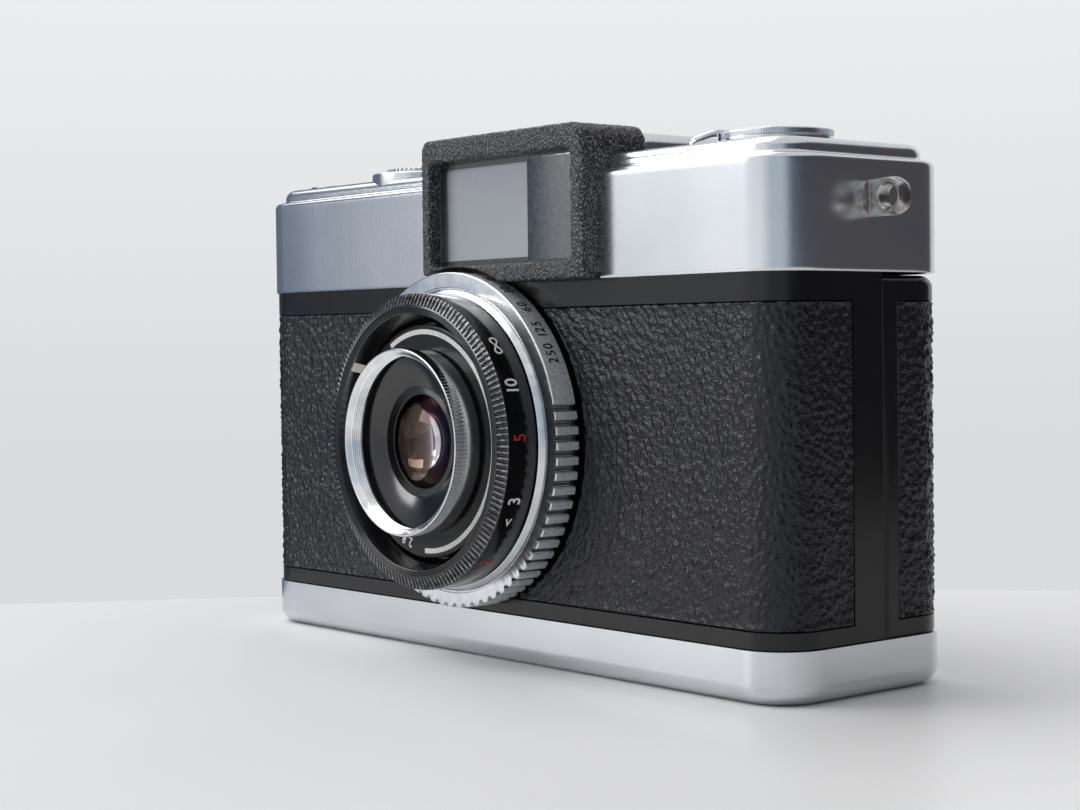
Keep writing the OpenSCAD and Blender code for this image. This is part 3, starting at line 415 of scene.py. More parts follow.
def linked(name, data):
    """Object of this data, linked to the scene."""
    made = bpy.data.objects.new(name, data)
    bpy.context.scene.collection.objects.link(made)
    return made


def discard(holder):
    """Removes a scratch object and its mesh."""
    mesh = holder.data
    bpy.data.objects.remove(holder)
    bpy.data.meshes.remove(mesh)


def gather(whole, made):
    """Adds one modelled mesh to another and frees it."""
    mesh = as_mesh("part", made)
    whole.from_mesh(mesh)
    bpy.data.meshes.remove(mesh)


def put(name, made, finish, body, stands_for=(), place=None, sharp=35):
    """Makes a piece of a mesh in millimetres: finish, shading, the body it rides on and what it stands for."""
    made.transform(Matrix.Scale(MM, 4) @ (place or Matrix()))
    mesh = as_mesh(name, made)
    shade(mesh, sharp)
    mesh.materials.append(FINISHES[finish])
    made_object = linked(name, mesh)
    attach(made_object, body)
    if stands_for:
        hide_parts(*stands_for)
    return made_object


def repaint(piece, finish, chosen):
    """Gives a second finish to faces that are chosen by distance from the lens axis, height, angle and normal."""
    piece.data.materials.append(FINISHES[finish])
    for face in piece.data.polygons:
        x, z = face.center.x / MM - LENS_X, face.center.z / MM - LENS_Z
        if chosen(math.hypot(x, z), in_front(face.center.y / MM), math.atan2(z, x), face.normal):
            face.material_index = 1


def cut(target, cutters, operation="DIFFERENCE"):
    """Cuts meshes in millimetres out of a mesh in millimetres and gives the result."""
    objects = [linked("blank", as_mesh("blank", made)) for made in [target] + cutters]
    for cutter in objects[1:]:
        step = objects[0].modifiers.new("cut", "BOOLEAN")
        step.operation = operation
        step.solver = "EXACT"
        step.object = cutter
    shaped = objects[0].evaluated_get(bpy.context.evaluated_depsgraph_get())
    result = bmesh.new()
    result.from_mesh(shaped.data)
    for blank in objects:
        discard(blank)
    return result


def block(low, high, ease=0.0):
    """Box between two corners with eased edges."""
    made = bmesh.new()
    bmesh.ops.create_cube(made, size=1)
    for vert in made.verts:
        vert.co = Vector(low[i] + (vert.co[i] + 0.5) * (high[i] - low[i]) for i in range(3))
    if ease:
        bmesh.ops.bevel(made, geom=made.edges[:], offset=ease, segments=3, profile=0.5, affect="EDGES")
    return made


def peg(stand, radius, z0, z1, steps=48):
    """Round pin standing in a frame."""
    made = turned([(AXIS, z0), (radius, z0), (radius, z1), (AXIS, z1)], steps)
    made.transform(stand)
    return made


def closed_sheet(outer, inner_at, every):
    """Solid with a fine outer grid of points and a coarser flat back; counts are multiples of every, plus one."""
    made = bmesh.new()
    top = [[made.verts.new(point) for point in row] for row in outer]
    rows, columns = len(top), len(top[0])
    back = [[made.verts.new(inner_at(row, column)) for column in range(0, columns, every)]
            for row in range(0, rows, every)]
    join_rings(made, top, around=False)
    join_rings(made, back, around=False)
    for edge, inside in ((top[0], back[0]), (top[-1], back[-1]), ([row[0] for row in top], [row[0] for row in back]),
                         ([row[-1] for row in top], [row[-1] for row in back])):
        for index in range(len(inside) - 1):
            span = edge[index * every:(index + 1) * every + 1]
            made.faces.new(span + [inside[index + 1], inside[index]])
    bmesh.ops.recalc_face_normals(made, faces=made.faces)
    return made


def pebble(point, size):
    """Height from 0 to 1 of an embossed grain with pebbles of about this size."""
    warp = noise.noise_vector(point / (2.2 * size)) * 0.45 * size
    distances = noise.voronoi((point + warp) / size)[0]
    crease = smooth_step((distances[1] - distances[0]) * 1.9)
    return crease * (0.72 + 0.4 * noise.noise(point / (1.7 * size)))


def covering(name, ends_at, body, node):
    """Grained covering laid round the body; ends_at gives its start and end along the outline at a height."""
    form = bpy.context.scene.camera_form
    step, size, depth = form.grain_step / MM, form.pebble / MM, form.pebble_depth / MM
    z0, z1 = LEATHER.low.z, LEATHER.high.z
    every, fold, inside, outside = 6, 0.35, -0.7, -0.2
    rows = every * round((z1 - z0) / step / every)
    spans = [ends_at(z0 + (z1 - z0) * i / 8) for i in range(9)]
    columns = every * round(max(end - start for start, end in spans) / step / every)
    outer = []
    for row in range(rows + 1):
        z = z0 + (z1 - z0) * row / rows
        start, end = ends_at(z)
        line = []
        for column in range(columns + 1):
            along = start + (end - start) * column / columns
            point, normal = round_body(along)
            edge = min(z - z0, z1 - z, along - start, end - along)
            soft = smooth_step(edge / (2 * fold))
            sink = rounded(edge, fold)
            height = outside - sink + soft * depth * (pebble(Vector((point.x, point.y, z)), size) - 0.75)
            line.append((point.x + normal.x * height, point.y + normal.y * height, z))
        outer.append(line)

    def inner_at(row, column):
        z = z0 + (z1 - z0) * row / rows
        start, end = ends_at(z)
        point, normal = round_body(start + (end - start) * column / columns)
        return point.x + normal.x * inside, point.y + normal.y * inside, z
    put(name, closed_sheet(outer, inner_at, every), "leatherette", body, [node], sharp=60)


def round_body(along):
    """Point and outward direction on the body's outline; along runs clockwise from the middle of the right end."""
    parts = [(HALF_D, 0), (ARC, 1), (2 * HALF_W, 0), (ARC, 1), (2 * HALF_D, 0), (ARC, 1), (2 * HALF_W, 0), (ARC, 1),
             (HALF_D, 0)]
    along %= sum(part[0] for part in parts)
    place = Vector((CENTRE.x + HALF_W + BODY_CORNER, 0))
    heading = math.radians(-90)
    for length, bend in parts:
        run = min(along, length)
        direction = Vector((math.cos(heading), math.sin(heading)))
        right = Vector((direction.y, -direction.x))
        if bend:
            turn = run / BODY_CORNER
            normal = -right
            normal.rotate(Matrix.Rotation(-turn, 2))
            place = place + right * BODY_CORNER + normal * BODY_CORNER
            heading -= turn
        else:
            place = place + direction * run
            normal = -right
        along -= run
        if along <= 0:
            break
    return place, normal


def speed_dial():
    """Satin chrome ring with the shutter speeds: round grooves for the fingers, a sloped front and a bright lip."""
    outer = SPEED.radius
    low, high = SPEED.depths()
    front = high - 0.72
    pitch = bpy.context.scene.camera_form.ridge_pitch
    half, deep = 0.5, 0.62
    first, turns = math.radians(12) + pitch / 2, 43

    def grooved(radius, height, angle):
        turn = (first - angle) % math.tau
        if radius < outer - 1 or turn > turns * pitch:
            return radius
        across = (turn / pitch % 1 - 0.5) * pitch * outer
        return min(radius, outer - deep * math.sqrt(max(0.0, 1 - (across / half) ** 2)))
    outline = eased([(outer - 3.45, low), (outer, low), (outer, front - 0.12), (outer - 0.12, front),
                     (outer - 1.9, front)], 0.06, closed=False)
    outline += eased([(outer - 1.9, front), (outer - 1.95, front - 0.3), (outer - 2.2, front - 0.3),
                      (outer - 2.25, front + 0.02), (outer - 2.72, high - 0.04), (outer - 2.8, high),
                      (outer - 3.45, high)], 0.05, closed=False)[1:]
    dial = put("speed_dial", turned(outline, round(math.tau / pitch) * 16, grooved), "satin_ring", "speed_ring",
               ["speed_ring"], LENS, sharp=28)
    # The ridges are blasted and painted a light matt grey, a painted sheen where the light falls on them; their grooves
    # stay bright
    repaint(dial, "blasted_chrome_and_painted_sheen", lambda reach, height, angle, normal:
            abs(normal.y) < 0.3 and reach > outer - 0.4 * deep)


def distance_ring():
    """Black focusing ring: a glossy band for the distances, a toothed bevel and a hollow face."""
    band = FOCUS.radius
    low, high = FOCUS.depths()
    edge, rim, bore = band - 1.7, band - 2.6, 13.25
    plate = PLATE.radius + RUNNING_GAP
    floor = in_front(PLATE.high.y) - 1.87
    start = high - 0.7
    outline = eased([(bore, low), (band, low), (band, start), (band - 0.04, start + 0.03)], 0.08, closed=False)
    outline += [(band - 0.5, start + 0.22), (band - 1.0, start + 0.42), (edge + 0.28, high - 0.1),
                (edge + 0.2, high - 0.08), (edge, high)]
    for groove in range(3):
        middle = edge - 0.2 - 0.22 * groove
        outline += [(middle + 0.06, high), (middle, high - 0.07), (middle - 0.06, high)]
    outline += eased([(rim + 0.1, high), (rim, high - 0.1), (plate + 0.25, high - 2.0), (plate, high - 2.6),
                      (plate, floor), (bore, floor)], 0.08, closed=False)
    teeth = bpy.context.scene.camera_form.grip_teeth

    def toothed(radius, height, angle):
        if not (edge + 0.22 < radius < band - 0.02 and height > start):
            return radius
        wave = 0.5 + 0.5 * math.cos(teeth * angle)
        deep = 0.26 + 0.3 * (radius - edge) / (band - edge)
        return radius - deep * (1 - smooth_step(2.2 * wave - 0.8))
    ring = put("distance_ring", turned(outline, teeth * 6, toothed), "anodised", "focus_ring",
               ["focus_ring"], LENS, sharp=30)
    # The crests of the teeth are painted a light bare-metal colour, a painted highlight for their glints
    repaint(ring, "painted_crest_glint", lambda reach, height, angle, normal:
            off_crest(teeth, angle) < 0.12 and height > start + 0.05 and edge + 0.2 < reach < band - 0.1)


def off_crest(teeth, angle):
    """Distance of an angle from the nearest of so many teeth, as a share of their pitch."""
    return abs((teeth * angle / math.tau + 0.5) % 1 - 0.5)


def number_plate():
    """Black plate behind the filter ring that carries the aperture numbers."""
    radius = PLATE.radius
    low, high = PLATE.depths()
    outline = eased([(SLEEVE, low), (radius, low), (radius, high - 0.1), (radius - 0.25, high), (SLEEVE + 0.5, high),
                     (SLEEVE + 0.4, high - 0.12), (SLEEVE, high - 0.12)], 0.05)
    put("aperture_number_plate", turned(outline, 192), "plate_black", "aperture_ring",
        ["aperture_plate"], LENS)


def filter_mount():
    """Bright filter ring: a polished sleeve on the plate, a finely knurled front edge and a thread inside."""
    rim = FILTER.radius
    low, high = FILTER.depths()
    plate = in_front(PLATE.low.y)
    bore = 9.55
    outline = eased([(bore, low), (SLEEVE, low), (SLEEVE, plate), (rim - 0.35, plate), (rim - 0.12, plate + 0.5),
                     (rim - 0.12, high - 1.82), (rim, high - 1.7), (rim, high - 0.3), (rim - 0.06, high - 0.04),
                     (rim - 0.12, high), (11.9, high), (11.36, high - 0.56)], 0.05, closed=False)
    for turn in range(5):
        top = high - 0.6 - 0.34 * turn
        outline += [(11.22, top), (11.38, top - 0.16), (11.38, top - 0.18)]
    outline += [(11.25, high - 2.4), (bore + 0.05, high - 3.0), (bore, high - 3.0)]
    teeth = bpy.context.scene.camera_form.filter_teeth

    def knurled(height):
        return high - 1.75 < height < high - 0.2

    def ridged(radius, height, angle):
        if radius < rim - 0.04 or not knurled(height):
            return radius
        return radius - 0.5 * off_crest(teeth, angle)
    mount = put("filter_mount", turned(outline, teeth * 4, ridged), "bright_chrome", "aperture_ring",
                ["filter_ring"], LENS, sharp=30)
    # One flank of each ridge is painted a light matt grey, a painted lit side
    repaint(mount, "blasted_chrome_and_painted_sheen", lambda reach, height, angle, normal:
            reach > rim - 0.3 and knurled(height) and teeth * angle / math.tau % 1 < 0.5)


def inner_bezel():
    """Black dished ring round the front glass, stepped inside to stop stray light and left bare."""
    radius = NAME.radius
    glass = FRONT.radius
    low = in_front(NAME.high.y)
    rim = in_front(FILTER.low.y) - 2.26
    edge, lip, steps = glass + 1.15, low + 0.4, 4
    outline = [(glass + 0.02, low), (radius, low), (radius, rim - 0.6), (11.2, rim - 0.06), (11.2, rim), (11.05, rim),
               (edge + 0.06, lip + 0.02), (edge, lip)]
    for step in range(1, steps + 1):
        inner = edge - (edge - glass - 0.04) * step / steps
        drop = lip - (lip - low - 0.04) * step / steps
        outline += [(inner + 0.2, drop + 0.12), (inner + 0.18, drop + 0.02), (inner, drop)]
    put("inner_bezel", turned(outline, 144), "anodised", "lens_unit", ["name_ring"], LENS)


def front_lens():
    """Front glass with its curved face."""
    low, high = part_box("front_glass")
    radius = (high.x - low.x) / 2 / MM - 0.02
    back, crown = in_front(high.y / MM), in_front(low.y / MM)
    dome, steps = 12.0, 24
    outline = [(AXIS, back), (radius, back)]
    for step in range(steps + 1):
        reach = radius * (1 - step / steps)
        outline.append((max(reach, AXIS), crown - dome + math.sqrt(dome * dome - reach * reach)))
    put("front_lens", turned(outline, 120), "coated_glass", "lens_unit", ["front_glass"], LENS)


def character(sign, cap, squeeze, thick):
    """Thin closed plate in the shape of one sign, middle at the origin, and its width."""
    text = bpy.data.curves.new("sign", "FONT")
    text.body = sign
    text.size = 1
    text.extrude = 0.5
    text.resolution_u = 4
    text.offset = 0.008
    holder = linked("sign", text)
    bpy.context.view_layer.update()
    shaped = holder.evaluated_get(bpy.context.evaluated_depsgraph_get())
    made = bmesh.new()
    made.from_mesh(shaped.to_mesh())
    shaped.to_mesh_clear()
    bpy.data.objects.remove(holder)
    bpy.data.curves.remove(text)
    xs = [vert.co.x for vert in made.verts]
    middle = (min(xs) + max(xs)) / 2
    # The built-in face has capitals 0.69 of its size high
    capital = 0.69
    scale = cap / capital
    for vert in made.verts:
        x, y, z = vert.co
        vert.co = ((x - middle) * scale * squeeze, (y - capital / 2) * scale, z * thick)
    bmesh.ops.remove_doubles(made, verts=made.verts, dist=WELD)
    return made, (max(xs) - min(xs)) * scale * squeeze


def infinity_sign(cap, thick):
    """Lying figure of eight as a ribbon of even width, and its width."""
    made = bmesh.new()
    width, stroke, steps = 1.6 * cap, 0.14 * cap, 64
    rings = []
    for step in range(steps):
        t = math.tau * step / steps
        middle = Vector((0.5 * width * math.cos(t), 0.33 * cap * math.sin(2 * t), 0.02 * thick * math.sin(t)))
        ahead = Vector((-0.5 * width * math.sin(t), 0.66 * cap * math.cos(2 * t), 0)).normalized()
        across = Vector((-ahead.y, ahead.x, 0)) * stroke / 2
        rise = Vector((0, 0, thick / 2))
        rings.append([made.verts.new(middle + across + rise), made.verts.new(middle - across + rise),
                      made.verts.new(middle - across - rise), made.verts.new(middle + across - rise)])
    join_rings(made, rings + rings[:1])
    bmesh.ops.recalc_face_normals(made, faces=made.faces)
    return made, width


def arrow_sign(cap, thick):
    """Small open pointer, and its width."""
    made = bmesh.new()
    reach, half, stroke = 0.3 * cap, 0.26 * cap, 0.1 * cap
    outline = [(reach, half), (-reach, 0.0), (reach, -half), (reach, -half + 1.2 * stroke), (-reach + 2 * stroke, 0.0),
               (reach, half - 1.2 * stroke)]
    bottom = made.faces.new([made.verts.new((x, y, -thick / 2)) for x, y in outline])
    raised = bmesh.ops.extrude_face_region(made, geom=[bottom])["geom"]
    bmesh.ops.translate(made, vec=(0, 0, thick), verts=[v for v in raised if isinstance(v, bmesh.types.BMVert)])
    bmesh.ops.recalc_face_normals(made, faces=made.faces)
    return made, 2 * reach


def engrave(name, rows, surface, cap, squeeze, finish, body, spacing=0.2):
    """Numbers set on a turned surface: rows of text and angle; surface gives a frame at an angle."""
    all_signs = bmesh.new()
    thick = 0.1
    for text, angle in rows:
        signs = []
        for sign in text:
            if sign == "~":
                signs.append(infinity_sign(0.82 * cap, thick))
            elif sign == "<":
                signs.append(arrow_sign(cap, thick))
            else:
                signs.append(character(sign, cap, squeeze, thick))
        along = -(sum(width for _, width in signs) + spacing * cap * (len(signs) - 1)) / 2
        place, radius = surface(angle)
        for made, width in signs:
            made.transform(LENS @ Matrix.Rotation((along + width / 2) / radius, 4, "Z") @ place)
            gather(all_signs, made)
            along += width + spacing * cap
    put(name, all_signs, finish, body, sharp=20)


def on_cylinder(radius, height):
    """Frames on an upright cylinder: signs stand with their tops to the front."""
    def frame_at(angle):
        turn = Matrix.Rotation(math.radians(angle), 4, "Z")
        stand = Matrix(((0, 0, 1, radius), (1, 0, 0, 0), (0, 1, 0, height), (0, 0, 0, 1)))
        return turn @ stand, radius
    return frame_at


def on_plate(radius, height):
    """Frames on a flat face: signs stand with their tops outward."""
    def frame_at(angle):
        turn = Matrix.Rotation(math.radians(angle), 4, "Z")
        stand = Matrix(((0, 1, 0, radius), (-1, 0, 0, 0), (0, 0, 1, height), (0, 0, 0, 1)))
        return turn @ stand, -radius
    return frame_at


def ring_strip(section, start, end, steps):
    """Thin painted strip round part of a ring; its section is a loop of radius and height."""
    made = bmesh.new()
    rings = []
    for step in range(steps + 1):
        angle = math.radians(start + (end - start) * step / steps)
        rings.append([made.verts.new((r * math.cos(angle), r * math.sin(angle), h)) for r, h in section])
    return capped(made, rings)


def lens_scales():
    """Speeds on the chrome ring, distances on the band, apertures on the plate, and the marks they are read at."""
    engrave("speed_numbers", [("250", 31), ("125", 41), ("60", 51.5), ("30", 62), ("15", 72), ("8", 83)],
            on_cylinder(SPEED.radius, in_front(SPEED.low.y) - 2.5), 1.5, 0.8, "black_fill",
            "speed_ring")
    focus, front = FOCUS.radius, in_front(FOCUS.low.y)
    band = on_cylinder(focus, front - 2.45)
    engrave("distance_numbers", [("~", 40), ("10", 23), ("3", -21), ("<", -30), ("1.5", -81), ("1.2", -112),
                                 ("1", -142), ("0.8", -187), ("0.6", -263)],
            band, 1.85, 0.85, "white_fill", "focus_ring")
    engrave("distance_numbers_red", [("5", 3), ("2", -51)], band, 1.85, 0.85, "red_fill", "focus_ring")
    height = in_front(PLATE.low.y)
    engrave("aperture_numbers", [("2.8", -107), ("4", -124), ("5.6", -141), ("8", -158), ("11", -175), ("16", 168),
                                 ("22", 151)],
            on_plate(13.9, height), 1.3, 0.85, "white_fill", "aperture_ring")
    low, high = height - 0.03, height + 0.03
    inner, outer = 14.0, 14.65
    put("aperture_line", ring_strip([(inner, low), (outer, low), (outer, high), (inner, high)], -91, 120, 96),
        "white_fill", "aperture_ring", place=LENS)
    wall, slope, thick = focus - 2.6, 0.447, 0.06
    deep, shallow = (wall - 1.75 * slope, front - 1.85), (wall - 0.2 * slope, front - 0.3)
    put("aperture_index", ring_strip([deep, (deep[0] - thick, deep[1]), (shallow[0] - thick, shallow[1]), shallow],
                                     141.6, 146.4, 6),
        "ivory_fill", "focus_ring", place=LENS)


def body_covering():
    """Grained covering in three pieces: left and right of the lens, and round the back."""
    noise.seed_set(GRAIN_SEED)
    hole = SPEED.radius + RUNNING_GAP
    half_way = 2 * HALF_D + 2 * HALF_W + 2 * ARC

    def beside_lens(z, side):
        rim = math.sqrt(hole * hole - (z - LENS_Z) ** 2)
        return HALF_D + ARC + CENTRE.x + HALF_W - LENS_X - side * rim
    covering("covering_front_right", lambda z: (-LEATHER.high.y, beside_lens(z, 1)), "camera_body",
             "front_leatherette")
    covering("covering_front_left", lambda z: (beside_lens(z, -1), half_way + LEATHER.high.y), "camera_body",
             "front_leatherette")
    covering("covering_back", lambda z: (half_way + BACKING.low.y, 2 * half_way - BACKING.low.y), "back",
             "back_leatherette")


def corner(inset, z, radius, steps=6, hollow=False):
    """Levels of a rounded edge that ends at this inset and height, bulging or hollow."""
    result = []
    for step in range(steps + 1):
        angle = math.radians(90) * step / steps
        if hollow:
            result.append((inset - radius + radius * math.sin(angle), z + radius - radius * math.cos(angle)))
        else:
            result.append((inset - radius * math.cos(angle), z - radius + radius * math.sin(angle)))
    return result


def upper_cover():
    """Satin chrome top cover: a rounded rim, a hollow sweep up to the plateau, and openings for what passes through."""
    bottom = COVER.low.z
    ledge, plateau = bottom + LEDGE, bottom + 15.5
    wall, top_inset = 1.0, 5.8
    levels = [(wall, bottom), (0.2, bottom), (0.06, bottom + 0.06), (0.0, bottom + 0.2), (0.0, bottom + 0.5),
              (0.0, ledge - 1.2)]
    levels += corner(0.8, ledge, 0.8)
    levels += [(1.0, ledge)] + corner(1.6, ledge, 0.5, 4, hollow=True)
    levels += corner(3.0, plateau, 1.4, 8)
    levels += [(4.0, plateau), (top_inset, plateau)]
    top = len(levels) - 1
    levels += [(top_inset, plateau - wall), (2.7, plateau - wall), (2.6, ledge - wall), (wall, ledge - wall),
               (wall, bottom + 6.0)]
    made = bmesh.new()
    rings = [[made.verts.new((point.x, point.y, z)) for point in plan(inset)] for inset, z in levels]
    join_rings(made, rings[:top + 1])
    join_rings(made, rings[top + 1:] + rings[:1])
    made.faces.new(rings[top])
    made.faces.new(rings[top + 1])
    bmesh.ops.recalc_face_normals(made, faces=made.faces)
    cutters = [block((FINDER.low.x, FACE_Y - 1, bottom - 1), (FINDER.high.x, FINDER.high.y, plateau + 1))]
    border = 1.2
    cutters.append(block((EYE.low.x + border, 0, EYE.low.z + border),
                         (EYE.high.x - border, -FACE_Y + 1, EYE.high.z - border)))
    wheel = (WHEEL.low + WHEEL.high) / 2
    radius = WHEEL.radius
    half = math.sqrt(radius ** 2 - (-FACE_Y - 1 - wheel.y) ** 2) + 2 * RUNNING_GAP
    cutters.append(block((wheel.x - half, -FACE_Y - 2, WHEEL.high.z - 4.3),
                         (wheel.x + half, -FACE_Y + 1, WHEEL.high.z + 0.3)))
    for box, hole in ((KNOB, 2.65), (BUTTON, 3.05), (COUNTER, 1.45)):
        cutters.append(peg(box.stand, hole, ledge - 2, plateau + 1))
    put("upper_cover", cut(made, cutters), "satin_chrome", "camera_body", ["top_cover"], sharp=32)


def soft_box(low, high, corner_radius, edge, steps=6):
    """Block seen from the front as a rectangle with round upper corners, with its front and rear edges rounded."""
    made = bmesh.new()

    def outline(inset):
        radius = corner_radius - inset
        points = [(low[0] + inset, low[2])]
        for start, cx in ((180, low[0] + corner_radius), (90, high[0] - corner_radius)):
            for step in range(steps + 1):
                angle = math.radians(start - 90 * step / steps)
                points.append((cx + radius * math.cos(angle), high[2] - corner_radius + radius * math.sin(angle)))
        points.append((high[0] - inset, low[2]))
        return points
    bend = [math.radians(90) * step / 4 for step in range(5)]
    depth = [(edge * (1 - math.sin(angle)), low[1] + edge * (1 - math.cos(angle))) for angle in bend]
    depth += [(edge * (1 - math.cos(angle)), high[1] - edge * (1 - math.sin(angle))) for angle in bend]
    return capped(made, [[made.verts.new((x, y, z)) for x, z in outline(inset)] for inset, y in depth])


def finder_hump():
    """Chrome roof over the finder, behind its black surround."""
    made = soft_box((FINDER.low.x + 0.6, FINDER.high.y - 0.4, COVER.low.z + 14.5),
                    (FINDER.high.x - 0.6, -FACE_Y - 2, COVER.high.z), 2.0, 1.2)
    put("finder_hump", made, "satin_chrome", "camera_body", sharp=40)


def finder_surround():
    """Black wrinkle-painted surround of the finder window: soft edges and a skin of real folds."""
    blank = linked("blank", frame["nodes"]["finder_frame"].data.copy())
    remesh = blank.modifiers.new("skin", "REMESH")
    remesh.mode = "VOXEL"
    remesh.voxel_size = bpy.context.scene.camera_form.wrinkle_step
    soften = blank.modifiers.new("soften", "SMOOTH")
    soften.iterations = 18
    soften.factor = 0.5
    shaped = blank.evaluated_get(bpy.context.evaluated_depsgraph_get())
    made = bmesh.new()
    made.from_mesh(shaped.data)
    discard(blank)
    made.transform(Matrix.Scale(1 / MM, 4))
    made.normal_update()
    moves = []
    for vert in made.verts:
        fold = noise.noise(vert.co / 0.6) + 0.8 * noise.noise(vert.co / 0.33)
        moves.append(vert.co + vert.normal * (0.085 * fold - 0.04))
    for vert, place in zip(made.verts, moves):
        vert.co = place
    put("finder_surround", made, "wrinkle_paint", "camera_body", ["finder_frame"], sharp=70)


def objective_pane():
    """Half-silvered objective of the finder, beside the ground glass, which mirrors the light in front; its dark tone
    is painted shade of the finder's inside.
    """
    beside = Box("finder_diffuser").high.x
    made = soft_box((beside + 0.1, GLASS.low.y - 0.06, GLASS.low.z + 0.3),
                    (GLASS.high.x - 0.3, GLASS.low.y + 0.5, GLASS.high.z - 0.3), 0.4, 0.08)
    put("objective_pane", made, "half_silver_painted_shade", "camera_body")


def rewind_disc():
    """Rewind knob: a finely knurled upper tier on a plain polished one, a dished top and a slot for the crank."""
    radius = KNOB.radius
    z0, z1 = KNOB.low.z, KNOB.high.z
    tier = z1 - 0.85
    outline = eased([(NEAR_AXIS, z0), (radius - 0.25, z0), (radius - 0.05, z0 + 0.2), (radius - 0.05, tier - 0.08),
                     (radius - 0.2, tier), (radius, tier + 0.08), (radius, z1 - 0.15), (radius - 0.15, z1),
                     (radius - 1.0, z1), (radius - 1.2, z1 - 0.12), (NEAR_AXIS, z1 - 0.12)], 0.06, closed=False)
    teeth = bpy.context.scene.camera_form.knob_teeth
    made = turned(outline, teeth * 6, knurl(teeth, 0.13, tier + 0.05, z1 - 0.1, radius))
    slot = block((-radius - 1, -2.15, z1 - 1.25), (radius + 1, 2.15, z1 + 1))
    put("rewind_disc", cut(made, [slot]), "bright_chrome", "rewind_knob", ["rewind_knob"],
        KNOB.stand @ CRANK_TURN, sharp=30)


def counter_surround():
    """Plain ring under the counter dial, which stands on the ledge in front of the plateau."""
    radius = BEZEL.radius
    z0, z1 = COVER.low.z + LEDGE + 0.05, BEZEL.high.z
    outline = eased([(1.45, z0), (radius - 0.1, z0), (radius, z0 + 0.1), (radius, z1 - 0.15), (radius - 0.15, z1),
                     (5.3, z1), (5.15, z1 - 0.15), (1.45, z1 - 0.15)], 0.06)
    put("counter_surround", turned(outline, 160), "satin_chrome", "camera_body", ["counter_bezel"],
        BEZEL.stand, sharp=40)


def frame_counter():
    """Frame counter dial on its axle: small teeth round its edge and a shallow dished top."""
    radius = COUNTER.radius
    z0, z1 = COUNTER.high.z - 0.5, COUNTER.high.z
    outline = eased([(NEAR_AXIS, COUNTER.low.z), (1.4, COUNTER.low.z), (1.4, z0), (radius - 0.05, z0),
                     (radius, z0 + 0.05), (radius, z1 - 0.12), (radius - 0.15, z1), (radius - 0.8, z1),
                     (radius - 0.9, z1 - 0.08),
                     (NEAR_AXIS, z1 - 0.08)], 0.05, closed=False)
    teeth = bpy.context.scene.camera_form.counter_teeth
    put("frame_counter", turned(outline, teeth * 8, knurl(teeth, 0.3, z0 + 0.02, z1 - 0.05, radius)), "bright_chrome",
        "counter_dial", ["counter_dial"], COUNTER.stand, sharp=30)


def release_cap():
    """Release button: a dished, polished cap with a threaded socket for a cable."""
    z0, z1 = BUTTON.low.z, BUTTON.high.z
    floor = z1 - 2.4
    outline = [(NEAR_AXIS, z0), (3.6, z0), (3.6, z0 + 0.8), (3.0, z0 + 0.8), (3.0, z1 - 0.25), (2.92, z1 - 0.08),
               (2.75, z1), (2.4, z1 - 0.02), (1.75, z1 - 0.16)]
    for turn in range(4):
        top = z1 - 0.22 - 0.5 * turn
        outline += [(1.5, top), (1.66, top - 0.2), (1.5, top - 0.4)]
    outline += [(1.5, floor), (NEAR_AXIS, floor)]
    put("release_cap", turned(outline, 96), "bright_chrome", "release_button", ["release_button"],
        BUTTON.stand, sharp=40)


def advance_disc():
    """Film advance wheel with a coarse knurl, which shows in the slot at the back."""
    radius = WHEEL.radius
    z1 = WHEEL.high.z
    z0 = z1 - 4
    outline = eased([(NEAR_AXIS, WHEEL.low.z), (1.5, WHEEL.low.z), (1.5, z0), (radius - 0.5, z0), (radius, z0 + 0.5),
                     (radius, z1 - 0.5), (radius - 0.5, z1), (NEAR_AXIS, z1)], 0.1, closed=False)
    teeth = bpy.context.scene.camera_form.wheel_teeth
    put("advance_disc", turned(outline, teeth * 8, knurl(teeth, 0.4, z0 + 0.4, z1 - 0.4, radius)), "bright_chrome",
        "advance_wheel", ["advance_wheel"], WHEEL.stand, sharp=30)


def strap_eyes():
    """Strap lugs: round-ended studs on a small foot, with a flat in front and behind and a chamfered cross hole."""
    both = bmesh.new()
    radius, flat, hole_radius, eye, foot, bow = 2.25, 1.05, 1.4, 1.8, 0.5, 1.6
    length = LUG.high.x - COVER.high.x
    rim = hole_radius + 0.16
    for side, x in ((1, COVER.high.x), (-1, COVER.low.x)):
        outline = [(NEAR_AXIS, -1.0), (1.1, -1.0), (1.1, 0.02), (radius, 0.02)]
        for step in range(13):
            angle = math.radians(90) * step / 12
            outline.append((max(radius - bow + bow * math.cos(angle), NEAR_AXIS), length - bow + bow * math.sin(angle)))
        stud = turned(outline + [(NEAR_AXIS, length)], 128)
        hole = turned([(NEAR_AXIS, -4), (rim, -4), (rim, -flat), (hole_radius, -flat + 0.2), (hole_radius, flat - 0.2),
                       (rim, flat), (rim, 4), (NEAR_AXIS, 4)], 64)
        hole.transform(Matrix.Translation((0, 0, length - eye)) @ Matrix.Rotation(math.radians(90), 4, "X"))
        stud = cut(stud, [block((-3, flat, foot), (3, 4, length + 1), 0.15),
                          block((-3, -4, foot), (3, -flat, length + 1), 0.15), hole])
        sharp = [edge for edge in stud.edges
                 if len(edge.link_faces) == 2 and edge.calc_face_angle() > math.radians(40)]
        bmesh.ops.bevel(stud, geom=sharp, offset=0.09, segments=2, profile=0.5, affect="EDGES", clamp_overlap=True)
        stud.transform(Matrix.Translation((x, 0, (LUG.low.z + LUG.high.z) / 2))
                       @ Matrix.Rotation(math.radians(90 * side), 4, "Y"))
        gather(both, stud)
    put("strap_eyes", both, "worn_chrome", "camera_body", ["strap_lugs"], sharp=30)


